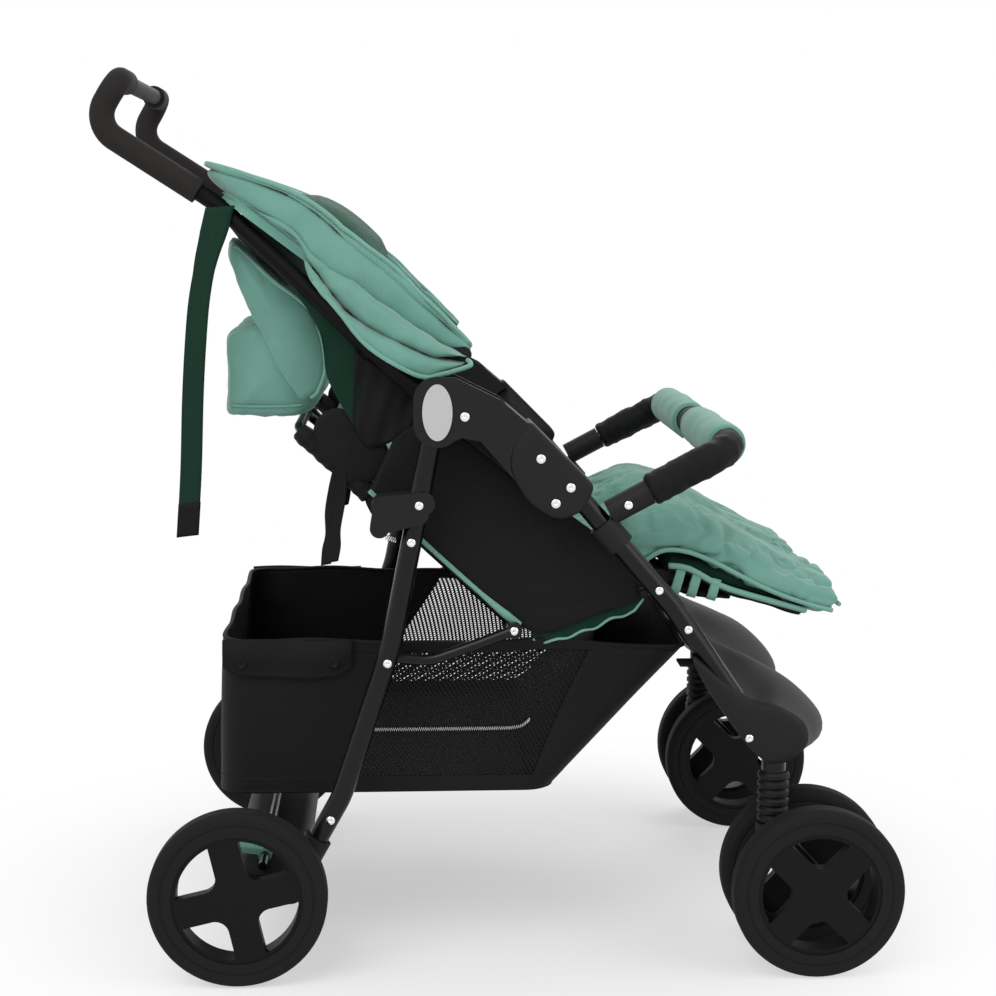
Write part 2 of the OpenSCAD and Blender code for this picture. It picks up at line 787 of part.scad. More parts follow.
module bumper_sockets() {
    start = bumper_root;
    ring_a = front_top + [40, -47];
    ring_d2 = leg_d + 10;
    leg_run = (front_knee - front_top) / norm(front_knee - front_top);
    color(plastic) pair() difference() {
        union() {
            rod(at(start - bumper_dir * 6, -front_y), at(start + bumper_dir * socket_len, -front_y), bumper_d + 14);
            rod(at(ring_a, -front_y), at(ring_a + leg_run * 34, -front_y), ring_d2);
        }
        rod(at(start, -front_y), at(start + bumper_dir * (socket_len + 1), -front_y), bumper_d + 2 * run_fit);
        rod(at(front_top, -front_y), at(front_knee, -front_y), leg_d + 2 * run_fit);
    }
}

bumper_bar_y = front_y - bumper_turn - 1;
bumper_half = [at(bumper_root + bumper_dir * bumper_plug, -front_y), at(bumper_bar, -front_y)];

module bumper_tube() {
    far = [for (p = reversed(bumper_half)) [p[0], -p[1], p[2]]];
    color(steel) bent(concat(bumper_half, far), [bumper_turn, bumper_turn], bumper_d);
}

module bumper_pads() {
    start = at(bumper_root + bumper_dir * (socket_len + 1), -front_y);
    corner = at(bumper_bar, -front_y);
    color(cloth_black) pair() difference() {
        bent([start, corner, at(bumper_bar, -bumper_bar_y)], [bumper_turn], bumper_pad_d);
        bent([bumper_half[0], corner, at(bumper_bar, 0)], [bumper_turn], bumper_d + 2 * run_fit);
    }
}

module bumper_sleeves() {
    color(green) pair() difference() {
        cross_bar(bumper_bar, -bumper_bar_y + 0.4, -sleeve_gap / 2, sleeve_d);
        cross_bar(bumper_bar, -front_y, 0, bumper_d + 2 * run_fit);
    }
}

// Handle and push tubes, one bent tube

push_dir = [-0.733, 0.68];
handle_low = pivot + [-250, 232];
handle_bar = handle_low + [-113, 143.5];
handle_bends = [60, 150, 31, 24];
handle_right = [at(pivot + push_dir * 9, -push_y), at(pivot + push_dir * 62, -push_y), at(handle_low, -handle_half - 5),
    at(handle_low + [-143, 92], -handle_half + 2), at(handle_bar, -handle_half + 3)];

module handle_tube() {
    left = [for (p = reversed(handle_right)) [p[0], -p[1], p[2]]];
    color(steel) difference() {
        union() {
            bent(concat(handle_right, left), concat(handle_bends, reversed(handle_bends)), push_d);
            pair() cross_bar(pivot, -push_y - push_boss / 2, -push_y + push_boss / 2, 2 * boss_r);
        }
        pair() cross_bar(pivot, -cover_out_y, -cover_in_y, pin_d + 2 * run_fit);
    }
}

module grip(left) {
    start = mix(handle_right[2], handle_right[3], 0.16);
    bends = [handle_bends[2], handle_bends[3]];
    color(rubber) side(left) difference() {
        bent([start, handle_right[3], handle_right[4], at(handle_bar, -bare_bar / 2)], bends, grip_d);
        bent([handle_right[2], handle_right[3], handle_right[4], at(handle_bar, 0)], bends, push_d + 2 * run_fit);
    }
}

strap_w = 25;
strap_t = 3;
strap_len = 362;
strap_flare = 5.9;

// Webbing loop that hangs from the right push tube
module hand_strap() {
    top = handle_low + [4, 2];
    y = handle_half + 5 + push_d / 2 + strap_flare;
    color(deep_green) drawn(-y - strap_t, -y) polygon([top + [-strap_w / 2, 8], top + [strap_w / 2, -8],
        top + [-8, -strap_len * 0.5], top + [-28, -strap_len + 2], top + [-28 - strap_w, -strap_len - 2],
        top + [-8 - strap_w, -strap_len * 0.5]]);
}

// Hood

bracket_t = 4.5;
bracket_y = panel_y - panel_t - 0.5;
hood_half = bracket_y - bracket_t - hood_gap;
bracket_root = pivot + push_dir * 80;

module hood_brackets() {
    color(plastic) pair() {
        difference() {
            union() {
                cross_bar(bracket_root, -push_y, -bracket_y + bracket_t, 18);
                drawn(-bracket_y, -bracket_y + bracket_t) slug(bracket_root, hood_pivot, 9);
            }
            bent([for (i = [0:2]) handle_right[i]], [handle_bends[0]], push_d + 2 * run_fit);
        }
        cross_bar(hood_pivot, -bracket_y + bracket_t - 0.5, -hood_half + hood_leaf + 1, hood_pin_d);
    }
}

function hood_edge(f) = [for (i = [0:len(hood_low) - 1]) hood_pivot + mix(hood_low[i], hood_top[i], f)];

module pleat_outline(f0, f1) {
    polygon(concat(hood_edge(f0), reversed(hood_edge(f1))));
}

// One pleat: a leaf on each side and a band across the tip
module pleat(f0, f1, tuck) {
    pair() drawn(-hood_half + tuck, -hood_half + hood_leaf - tuck / 2) pleat_outline(f0, f1);
    drawn(-hood_half + tuck, hood_half - tuck) difference() {
        pleat_outline(f0, f1);
        translate(hood_pivot) circle(hood_tip_r, $fn = 96);
    }
}

module hood_eye(y0, y1, r) {
    pair() cross_bar(hood_pivot, -hood_half + y0, -hood_half + y1, 2 * r);
}

module hood_bundle(first, last, eye0, eye1, clear0, clear1) {
    gap = last == len(hood_cuts) - 2 ? 0.02 : 0;
    difference() {
        union() {
            difference() {
                for (i = [first:last]) pleat(hood_cuts[i] + (i == first ? gap : 0), hood_cuts[i + 1],
                    i % 2 == 0 ? 0 : 3.5);
                hood_eye(clear0, clear1, hood_eye_r + 0.6);
            }
            hood_eye(eye0, eye1, hood_eye_r);
        }
        hood_eye(-5, hood_leaf + 5, hood_pin_d / 2 + run_fit);
    }
}

module hood_rear() {
    mid = hood_leaf / 2;
    color(green) hood_bundle(0, 1, mid + 0.5, hood_leaf, -1, mid + 0.2);
}

module hood_front() {
    mid = hood_leaf / 2;
    color(green) hood_bundle(2, 4, 0, mid - 0.5, mid - 0.2, hood_leaf + 1);
}

curtain_half = handle_half - 6;
curtain_t = 4;
curtain_folds = 5;

// Cloth behind the seats: an upper flap over a boxy pouch, with soft upright folds
module back_curtain() {
    top = pivot + [-238, 192];
    flap = [top, pivot + [-190, 150], pivot + [-138, 106], pivot + [-124, 50], pivot + [-144, -4]];
    pouch = [pivot + [-247, -16], pivot + [-248, 80], pivot + [-198, 88]];
    color(green) difference() {
        drawn(-curtain_half, curtain_half) polygon(concat(flap, pouch));
        drawn(-curtain_half + curtain_t, curtain_half - curtain_t)
            polygon([pivot + [-228, 172], pivot + [-188, 140], pivot + [-144, 102], pivot + [-131, 49],
                pivot + [-151, 2], pivot + [-241, -10], pivot + [-241, 74], pivot + [-192, 82]]);
        for (i = [0:curtain_folds]) {
            y = -curtain_half + 2 * curtain_half * i / curtain_folds;
            translate([pivot_x - 252, y, pivot_z - 30]) cylinder(r = 6, h = 140);
        }
    }
}

hinge_cover(false);  // hinge_cover_right
hinge_cover(true);  // hinge_cover_left
leg_knuckle(false);  // leg_knuckle_right
leg_knuckle(true);  // leg_knuckle_left
oval_badges();
hinge_pins();
front_leg(false);  // front_leg_right
front_leg(true);  // front_leg_left
front_step();
boot(false);  // boot_right
boot(true);  // boot_left
seat_front_tube();
seat_rear_tube();
seat_rails();
seat_board(false);  // seat_board_right
seat_board(true);  // seat_board_left
seat(false);  // seat_right
seat(true);  // seat_left
side_panel(false);  // side_panel_right
side_panel(true);  // side_panel_left
basket();
bumper_sockets();
handle_tube();
grip(false);  // grip_right
grip(true);  // grip_left
hood_brackets();
hood_rear();
hood_front();
back_curtain();
hand_strap();
back_tube(false);  // back_tube_right
back_tube(true);  // back_tube_left
backrest(false);  // backrest_right
backrest(true);  // backrest_left
legrest_board(false);  // legrest_board_right
legrest_board(true);  // legrest_board_left
legrest(false);  // legrest_right
legrest(true);  // legrest_left
bumper_tube();
bumper_pads();
bumper_sleeves();
rear_leg(false);  // rear_leg_right
rear_leg(true);  // rear_leg_left
rear_axle_beam();
rear_axles();
latch_brackets();
latch_springs();
link_bars();
brake_bar();
brake_pedals();
rear_hub(false);  // rear_hub_right
rear_hub(true);  // rear_hub_left
rear_tyre(false);  // rear_tyre_right
rear_tyre(true);  // rear_tyre_left
caster_fork(false);  // caster_fork_right
caster_fork(true);  // caster_fork_left
caster_hubs(false);  // caster_hubs_right
caster_hubs(true);  // caster_hubs_left
caster_tyres(false);  // caster_tyres_right
caster_tyres(true);  // caster_tyres_left
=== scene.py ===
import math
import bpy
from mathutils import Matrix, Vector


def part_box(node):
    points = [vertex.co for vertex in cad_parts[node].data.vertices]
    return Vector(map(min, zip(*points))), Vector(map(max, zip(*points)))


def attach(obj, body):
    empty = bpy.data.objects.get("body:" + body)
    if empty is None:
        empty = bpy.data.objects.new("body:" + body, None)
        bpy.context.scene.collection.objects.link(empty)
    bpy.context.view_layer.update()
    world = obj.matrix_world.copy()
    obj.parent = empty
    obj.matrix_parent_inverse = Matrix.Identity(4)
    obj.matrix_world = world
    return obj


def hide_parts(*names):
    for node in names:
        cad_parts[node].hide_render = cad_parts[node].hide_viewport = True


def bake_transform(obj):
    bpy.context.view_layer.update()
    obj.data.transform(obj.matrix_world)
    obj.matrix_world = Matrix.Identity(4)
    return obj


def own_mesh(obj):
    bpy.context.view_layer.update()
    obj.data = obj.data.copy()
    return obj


bl_info = {
    "name": "Twin Pram Dresser",
    "version": (1, 0, 0),
    "blender": (4, 5, 0),
    "location": "View3D > Sidebar > Pram",
    "description": "Dresses a twin pram's frame with its cloth, padding, basket, fittings and studio",
    "category": "Object",
}

import bpy
import numpy as np
from bpy.props import FloatProperty, FloatVectorProperty, PointerProperty
from mathutils import Vector, noise

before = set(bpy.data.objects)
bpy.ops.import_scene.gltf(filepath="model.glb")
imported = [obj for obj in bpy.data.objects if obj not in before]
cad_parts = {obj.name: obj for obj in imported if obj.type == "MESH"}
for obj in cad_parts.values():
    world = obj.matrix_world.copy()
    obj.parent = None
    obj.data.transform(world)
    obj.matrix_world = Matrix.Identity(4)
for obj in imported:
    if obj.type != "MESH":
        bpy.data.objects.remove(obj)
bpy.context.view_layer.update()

RIGHT, LEFT = -1, 1
SIDES = ((RIGHT, "right"), (LEFT, "left"))
MM = 0.001


# Settings


class PramClothSettings(bpy.types.PropertyGroup):
    """Colours and weave of the pram's fabrics"""

    green: FloatVectorProperty(
        name="Green", description="Main cover cloth", subtype="COLOR", size=3,
        min=0, max=1, default=(0.147, 0.328, 0.268),
    )
    # Deep green is the hand strap's own colour, and also painted shade on the sheets in the hollows under the
    # hood and beside the seats
    deep_green: FloatVectorProperty(
        name="Deep green", description="Lining and hand strap", subtype="COLOR", size=3,
        min=0, max=1, default=(0.0035, 0.026, 0.015),
    )
    black: FloatVectorProperty(
        name="Black", description="Padded side cloth and basket", subtype="COLOR", size=3,
        min=0, max=1, default=(0.0045, 0.0045, 0.0047),
    )
    thread: FloatProperty(
        name="Thread", description="Distance between threads of the weave", unit="LENGTH",
        min=0.0005, max=0.01, default=0.0022,
    )
    piping: FloatProperty(
        name="Piping", description="Radius of the piped seams", unit="LENGTH",
        min=0.001, max=0.006, default=0.0026,
    )


class PramHoodSettings(bpy.types.PropertyGroup):
    """Shape of the folded hood"""

    half_width: FloatProperty(
        name="Half width", description="Half of the hood's outer width", unit="LENGTH",
        min=0.2, max=0.26, default=0.2555,
    )
    crease: FloatProperty(
        name="Crease", description="Height of the creases in the cloth", unit="LENGTH",
        min=0, max=0.01, default=0.0035,
    )


class PramSeatSettings(bpy.types.PropertyGroup):
    """Shape of the seat padding"""

    inner: FloatProperty(
        name="Inner edge", description="Distance of a seat's inner edge from the middle", unit="LENGTH",
        min=0.005, max=0.03, default=0.012,
    )
    outer: FloatProperty(
        name="Outer edge", description="Distance of a seat's outer edge from the middle", unit="LENGTH",
        min=0.2, max=0.25, default=0.246,
    )
    wrinkle: FloatProperty(
        name="Wrinkle", description="Height of the wrinkles in the covers", unit="LENGTH",
        min=0, max=0.01, default=0.0035,
    )


class PramBasketSettings(bpy.types.PropertyGroup):
    """Shape of the basket"""

    half_width: FloatProperty(
        name="Half width", description="Half of the basket's width", unit="LENGTH",
        min=0.2, max=0.26, default=0.2555,
    )
    corner: FloatProperty(
        name="Corner", description="Radius of the upright corners", unit="LENGTH",
        min=0.01, max=0.08, default=0.035,
    )
    net: FloatProperty(
        name="Net", description="Distance between the holes of the net", unit="LENGTH",
        min=0.002, max=0.012, default=0.0042,
    )


class PramStageSettings(bpy.types.PropertyGroup):
    """Camera, floor and light"""

    eye: FloatVectorProperty(
        name="Eye", description="Place of the camera", subtype="TRANSLATION", size=3,
        default=(-0.1116, -2.626, 0.8695),
    )
    look: FloatVectorProperty(
        name="Look", description="Direction the camera looks in", subtype="DIRECTION", size=3,
        default=(0.04686, 0.98997, -0.13329),
    )
    lens: FloatProperty(
        name="Lens", description="Focal length", unit="CAMERA", min=20, max=200, default=74.2,
    )
    floor: FloatVectorProperty(
        name="Floor", description="Floor colour", subtype="COLOR", size=3,
        min=0, max=1, default=(0.9, 0.9, 0.9),
    )


# Shader building

# Scale of a wave texture whose bands lie one metre apart
BAND_SCALE = 0.314


def start_material(name):
    mat = bpy.data.materials.new(name)
    mat.use_nodes = True
    tree = mat.node_tree
    tree.nodes.clear()
    out = tree.nodes.new("ShaderNodeOutputMaterial")
    skin = tree.nodes.new("ShaderNodeBsdfPrincipled")
    tree.links.new(skin.outputs["BSDF"], out.inputs["Surface"])
    return mat, tree, skin


def add_node(tree, kind, links=None, values=None, **settings):
    n = tree.nodes.new(kind)
    for key, value in settings.items():
        setattr(n, key, value)
    for key, value in (values or {}).items():
        n.inputs[key].default_value = value
    for key, socket in (links or {}).items():
        tree.links.new(socket, n.inputs[key])
    return n


def combine(tree, operation, one, two):
    return add_node(tree, "ShaderNodeMath", {0: one, 1: two}, operation=operation).outputs[0]


def noise_of(tree, coords, scale, detail, **values):
    values = {"Scale": scale, "Detail": detail, **values}
    return add_node(tree, "ShaderNodeTexNoise", {"Vector": coords}, values).outputs["Fac"]


def bands_of(tree, coords, spacing, direction, distortion=0.0):
    values = {"Scale": BAND_SCALE / spacing, "Distortion": distortion}
    wave = add_node(tree, "ShaderNodeTexWave", {"Vector": coords}, values, bands_direction=direction)
    return wave.outputs["Fac"]


def shade_of(color, gain):
    return tuple(min(1.0, c * gain) for c in color) + (1.0,)


def blotch_colour(tree, skin, coords, color, scale, low, high):
    """Base colour that drifts softly between a darker and a lighter tone"""
    spots = noise_of(tree, coords, scale, 5.0, Roughness=0.6)
    mix = add_node(tree, "ShaderNodeMix", {"Factor": spots}, data_type="RGBA")
    mix.inputs[6].default_value = shade_of(color, low)
    mix.inputs[7].default_value = shade_of(color, high)
    tree.links.new(mix.outputs[2], skin.inputs["Base Color"])
    return spots


def bump_from(tree, skin, height, strength, depth):
    bump = add_node(tree, "ShaderNodeBump", {"Height": height}, {"Strength": strength, "Distance": depth})
    tree.links.new(bump.outputs["Normal"], skin.inputs["Normal"])


def rough_from(tree, skin, fac, low, high):
    span = add_node(tree, "ShaderNodeMapRange", {"Value": fac}, {"To Min": low, "To Max": high})
    tree.links.new(span.outputs["Result"], skin.inputs["Roughness"])


def surface(name, color, scale, tones, rough, shine):
    """A material whose tone and roughness drift together over the piece"""
    mat, tree, skin = start_material(name)
    coords = add_node(tree, "ShaderNodeTexCoord").outputs["Object"]
    spots = blotch_colour(tree, skin, coords, color, scale, *tones)
    rough_from(tree, skin, spots, *rough)
    skin.inputs["Specular IOR Level"].default_value = shine
    return mat, tree, skin, coords


def woven_cloth(name, color, thread, sheen=0.25, rough=(0.7, 0.9), depth=0.0006, tones=(0.82, 1.1)):
    mat, tree, skin, coords = surface(name, color, 16.0, tones, rough, 0.15)
    mapping = add_node(tree, "ShaderNodeMapping", {"Vector": coords}, {"Rotation": (0.5, 0.62, 0.4)})
    warp, weft = (bands_of(tree, mapping.outputs[0], thread, way, 0.6) for way in "XZ")
    threads = combine(tree, "MULTIPLY", warp, weft)
    bump_from(tree, skin, combine(tree, "ADD", threads, noise_of(tree, coords, 420.0, 3.0)), 0.35, depth)
    skin.inputs["Sheen Weight"].default_value = sheen
    skin.inputs["Sheen Roughness"].default_value = 0.5
    return mat


def net_cloth(name, color, pitch, cover):
    """Netting with open diamonds, laid out on the piece's own flat pattern"""
    mat, tree, skin = start_material(name)
    flat = add_node(tree, "ShaderNodeUVMap", uv_map="pattern").outputs["UV"]
    turn = {"Rotation": (0, 0, math.radians(45))}
    mapping = add_node(tree, "ShaderNodeMapping", {"Vector": flat}, turn)
    low = combine(tree, "MINIMUM", *(bands_of(tree, mapping.outputs[0], pitch, way) for way in "XY"))
    cord = add_node(tree, "ShaderNodeMath", {0: low}, {1: cover}, operation="LESS_THAN")
    tree.links.new(cord.outputs[0], skin.inputs["Alpha"])
    spots = blotch_colour(tree, skin, flat, color, 30.0, 0.7, 1.4)
    rough_from(tree, skin, spots, 0.55, 0.8)
    bump_from(tree, skin, low, 0.4, 0.0006)
    skin.inputs["Specular IOR Level"].default_value = 0.15
    return mat


def moulded_plastic(name, color, rough=(0.46, 0.6)):
    mat, tree, skin, coords = surface(name, color, 9.0, (0.85, 1.15), rough, 0.14)
    bump_from(tree, skin, noise_of(tree, coords, 900.0, 3.0), 0.12, 0.0004)
    return mat


def tube_paint(name, rough, shine):
    mat, tree, skin, coords = surface(name, (0.002, 0.002, 0.0021), 22.0, (0.8, 1.25), rough, shine)
    bump_from(tree, skin, noise_of(tree, coords, 260.0, 2.0), 0.05, 0.0003)
    return mat


def foam_rubber(name, color, cell, strength, rough=(0.75, 0.92)):
    mat, tree, skin, coords = surface(name, color, 40.0, (0.78, 1.2), rough, 0.2)
    cells = add_node(tree, "ShaderNodeTexVoronoi", {"Vector": coords}, {"Scale": cell})
    bump_from(tree, skin, cells.outputs["Distance"], strength, 0.0006)
    return mat


def brushed_metal(name, color, rough=(0.28, 0.42), stretch=(30.0, 30.0, 700.0)):
    mat, tree, skin = start_material(name)
    coords = add_node(tree, "ShaderNodeTexCoord").outputs["Object"]
    drawn = add_node(tree, "ShaderNodeMapping", {"Vector": coords}, {"Scale": stretch})
    lines = blotch_colour(tree, skin, drawn.outputs[0], color, 3.0, 0.85, 1.1)
    rough_from(tree, skin, lines, *rough)
    bump_from(tree, skin, lines, 0.1, 0.0002)
    skin.inputs["Metallic"].default_value = 1.0
    return mat


FINISHES = {}


def finish(key):
    """The pram's materials, each made once"""
    if key in FINISHES:
        return FINISHES[key]
    c = bpy.context.scene.pram_cloth
    net = bpy.context.scene.pram_basket.net
    pipe_green, window_green = tuple(x * 1.12 for x in c.green), tuple(x * 2.4 for x in c.deep_green)
    matt = (0.55, 0.75)
    makers = {
        "green": lambda: woven_cloth("green_cover_cloth", c.green, c.thread),
        "piping": lambda: woven_cloth("green_piping", pipe_green, c.thread * 0.6, 0.3),
        # Deep green cloth, also used as painted shade on the sheets in the hollows under the hood and beside
        # the seats
        "deep_green": lambda: woven_cloth("deep_green_cloth_and_painted_shade", c.deep_green, c.thread, 0.03),
        "webbing": lambda: woven_cloth("deep_green_webbing", c.deep_green, c.thread * 1.4, 0.02, matt, 0.001),
        "black": lambda: woven_cloth("black_padded_cloth", c.black, c.thread, 0.02, matt, 0.0007, (0.7, 1.4)),
        "net": lambda: net_cloth("black_netting", c.black, net, 0.5),
        "window": lambda: net_cloth("deep_green_netting", window_green, 0.0022, 0.9),
        "thread": lambda: woven_cloth("pale_thread", (0.6, 0.6, 0.58), 0.0006, 0.1),
        "tube": lambda: tube_paint("black_tube_paint", (0.2, 0.32), 0.25),
        "satin": lambda: tube_paint("satin_tube_paint", (0.5, 0.62), 0.1),
        "plastic": lambda: moulded_plastic("dark_moulded_plastic", (0.013, 0.013, 0.0135)),
        "hub": lambda: moulded_plastic("black_hub_plastic", (0.0035, 0.0035, 0.0036), (0.42, 0.6)),
        "pedal": lambda: moulded_plastic("green_pedal_plastic", c.green, (0.4, 0.55)),
        "tyre": lambda: foam_rubber("foam_tyre", (0.009, 0.009, 0.0092), 900.0, 0.12),
        "boot": lambda: foam_rubber("bellows_rubber", (0.006, 0.006, 0.006), 700.0, 0.06, (0.45, 0.6)),
        "grip": lambda: foam_rubber("grip_foam", (0.017, 0.0145, 0.014), 650.0, 0.25),
        "badge": lambda: brushed_metal("brushed_badge", (0.55, 0.55, 0.56)),
        "screw": lambda: brushed_metal("bright_screws", (0.82, 0.82, 0.84), (0.12, 0.2), (200.0,) * 3),
    }
    FINISHES[key] = makers[key]()
    return FINISHES[key]


# Mesh building, in millimetres of the pram's own frame


def add_piece(name, verts, faces, key, body=None, uvs=None):
    mesh = bpy.data.meshes.new(name)
    mesh.from_pydata([tuple(float(c) * MM for c in v) for v in verts], [], faces)
    if uvs is not None:
        layer = mesh.uv_layers.new(name="pattern")
        for loop in mesh.loops:
            layer.data[loop.index].uv = uvs[loop.vertex_index]
    mesh.validate()
    mesh.update()
    mesh.polygons.foreach_set("use_smooth", [True] * len(mesh.polygons))
    obj = bpy.data.objects.new(name, mesh)
    bpy.context.scene.collection.objects.link(obj)
    mesh.materials.append(finish(key))
    if body:
        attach(obj, body)
    return obj


def angles(count):
    """Angles of points spread evenly round a circle"""
    return np.linspace(0, 2 * math.pi, count, endpoint=False)


def turned(faces, flip=True):
    """Faces that look the other way, where flip says so"""
    return [f[::-1] for f in faces] if flip else faces


def grid_faces(rows, cols, ring=False, loop=False):
    faces = []
    for i in range(rows if loop else rows - 1):
        for j in range(cols if ring else cols - 1):
            a, b = i * cols + j, i * cols + (j + 1) % cols
            c, d = ((i + 1) % rows) * cols + (j + 1) % cols, ((i + 1) % rows) * cols + j
            faces.append((a, b, c, d))
    return faces


def swept(rings, flip=False):
    """Vertices and faces of a run of closed rings, capped with a fan at both ends"""
    rings = np.asarray(rings, float)
    n, m, _ = rings.shape
    verts = list(rings.reshape(-1, 3))
    faces = grid_faces(n, m, ring=True)
    for base, last in ((0, False), ((n - 1) * m, True)):
        centre = len(verts)
        verts.append(rings[-1 if last else 0].mean(axis=0))
        for j in range(m):
            tri = (base + (j + 1) % m, base + j, centre)
            faces.append(tri[::-1] if last else tri)
    return verts, turned(faces, flip)


def lengths(points):
    """Distance run along a line at each of its points"""
    return np.concatenate([[0], np.cumsum(np.linalg.norm(np.diff(points, axis=0), axis=1))])


def spread(points, count, closed):
    """Points spread evenly along a line; a closed line's last point, which is its first, is left out"""
    s = lengths(points)
    at = np.linspace(0, s[-1], count, endpoint=not closed)
    return np.stack([np.interp(at, s, column) for column in points.T], axis=1)


def smooth_path(points, count, closed=False):
    """Points spread evenly along a smooth curve through the given ones"""
    p = np.asarray(points, float)
    n = len(p)
    out = []
    for i in range(n if closed else n - 1):
        if closed:
            a, b, c, d = p[i - 1], p[i], p[(i + 1) % n], p[(i + 2) % n]
        else:
            a, b, c, d = p[max(i - 1, 0)], p[i], p[i + 1], p[min(i + 2, n - 1)]
        for t in np.linspace(0, 1, 24, endpoint=False):
            out.append(0.5 * ((2 * b) + (c - a) * t + (2 * a - 5 * b + 4 * c - d) * t ** 2
                              + (3 * b - a - 3 * c + d) * t ** 3))
    out.append(p[0] if closed else p[-1])
    return spread(np.array(out), count, closed)


def tube_rings(points, radius, sides, closed=False):
    p = np.asarray(points, float)
    if closed:
        tangent = np.roll(p, -1, axis=0) - np.roll(p, 1, axis=0)
    else:
        tangent = np.gradient(p, axis=0)
    tangent /= np.linalg.norm(tangent, axis=1)[:, None] + 1e-12
    up = np.array([0.0, 0.0, 1.0]) if abs(tangent[0][2]) < 0.9 else np.array([0.0, 1.0, 0.0])
    radii = np.broadcast_to(np.asarray(radius, float), (len(p),))
    rings = []
    for q, t, r in zip(p, tangent, radii):
        side = np.cross(t, up)
        side /= np.linalg.norm(side)
        up = np.cross(side, t)
        rings.append([q + r * (math.cos(a) * side + math.sin(a) * up) for a in angles(sides)])
    return np.array(rings)


def add_tube(name, points, radius, key, body, sides):
    return add_piece(name, *swept(tube_rings(points, radius, sides)), key, body)


def add_piping(name, points, radius, body=None):
    return add_tube(name, points, radius, "piping", body, 8)


def boss_rings(place, sign, profile, star=0.0):
    """Rings of a round boss on a side face, from (radius, lift) pairs; star draws each out in four points"""
    rings = []
    for r, lift in profile:
        reach = [(a, r * (1.0 + star * math.cos(4 * a))) for a in angles(24)]
        rings.append([(place[0] + q * math.cos(a), place[1] + sign * lift, place[2] + q * math.sin(a))
                      for a, q in reach])
    return rings


def push_out(obj, offset):
    """Moves each vertex of a mesh along its normal by offset(place)"""
    mesh = obj.data
    mesh.update()
    moves = [v.normal * offset(v.co) for v in mesh.vertices]
    for v, move in zip(mesh.vertices, moves):
        v.co += move
    mesh.update()


def noise_place(co, stretch, size):
    return Vector((co.x * stretch[0], co.y * stretch[1], co.z * stretch[2])) / size


def ripple(obj, height, size, seed, stretch=(1, 1, 1)):
    """Pushes a mesh in and out along its normals with smooth noise"""
    shift = Vector((seed, seed * 1.7, -seed))
    push_out(obj, lambda co: noise.fractal(noise_place(co, stretch, size) + shift, 0.9, 2.1, 3) * height)


def crease(obj, depth, size, seed, stretch=(1, 1, 1), where=lambda p: 1.0):
    """Presses short curved folds into a cover, along the lines where smooth noise changes sign"""
    line_shift, gap_shift = Vector((seed, -seed, 2.3 * seed)), Vector((-seed, seed, 5.0))
    swell_shift = Vector((9.0, seed, seed))
    fold_width = 0.13

    def offset(co):
        q = noise_place(co, stretch, size)
        line = math.exp(-(noise.noise(q + line_shift) / fold_width) ** 2)
        broken = min(1.0, max(0.0, 0.45 + 2.2 * noise.noise(q * 0.8 + gap_shift)))
        swell = 0.5 * noise.noise(q * 0.6 + swell_shift)
        return depth * where(co / MM) * (swell - line * broken)

    push_out(obj, offset)


def settle(obj, *modifiers):
    """Applies modifiers, given as (kind, settings), so that the mesh is final"""
    for kind, settings in modifiers:
        m = obj.modifiers.new(kind, kind)
        for key, value in settings.items():
            setattr(m, key, value)
    bpy.context.view_layer.update()
    done = bpy.data.meshes.new_from_object(obj.evaluated_get(bpy.context.evaluated_depsgraph_get()))
    obj.modifiers.clear()
    old, obj.data = obj.data, done
    done.name = obj.name
    bpy.data.meshes.remove(old)
    done.polygons.foreach_set("use_smooth", [True] * len(done.polygons))
    return obj


SMOOTH = ("SUBSURF", {"levels": 1, "render_levels": 1})


def thicken(obj, thick, offset=0.0):
    return settle(obj, ("SOLIDIFY", {"thickness": thick * MM, "offset": offset}))


def flat_area(obj):
    """Area of all faces, in square metres"""
    return sum(p.area for p in obj.data.polygons)


def declare_sheet(obj, area=None):
    """Works out a cloth's flat area in square metres, halving a thickened mesh's area, which counts both
    faces; the result is not kept
    """
    area = area or flat_area(obj) / 2


def power(x, p):
    return math.copysign(abs(x) ** p, x)


def rounded_end(share):
    """Height of a quarter circle: 0 at share 0, and 1 from share 1 on"""
    return math.sqrt(max(0.0, 1 - max(0.0, 1 - share) ** 2))


def pad_rings(low, thick, crown, y0, y1, pull, ring, tip):
    """Rings of a stuffed pad that lies on a side-view line: crowned, with rounded ends and drawn-in sides"""
    low = np.asarray(low, float)
    n = len(low)
    run = np.gradient(low, axis=0)
    run /= np.linalg.norm(run, axis=1)[:, None]
    rise = np.stack([-run[:, 1], run[:, 0]], axis=1)
    mid_y, half = (y0 + y1) / 2, abs(y1 - y0) / 2
    rings = []
    for k in range(n):
        u = k / (n - 1)
        end = rounded_end(min(1.0, min(u, 1 - u) / tip))
        t, c = thick[k], crown[k] * (0.35 + 0.65 * end)
        w = half - pull * math.sin(math.pi * u) - (1 - end) * 9
        loop = []
        for a in angles(ring):
            ca, sa = math.cos(a), math.sin(a)
            y = mid_y + w * power(ca, 0.5)
            over = math.sqrt(max(0.0, 1 - abs(power(ca, 0.5)) ** 3))
            if sa >= 0:
                h = t / 2 + (t / 2) * power(sa, 0.5) * (0.25 + 0.75 * end) + c * over
            else:
                h = t / 2 - (t / 2) * power(-sa, 0.35) * (0.25 + 0.75 * end)
            loop.append([low[k][0] + rise[k][0] * h, y, low[k][1] + rise[k][1] * h])
        rings.append(loop)
    return np.array(rings)


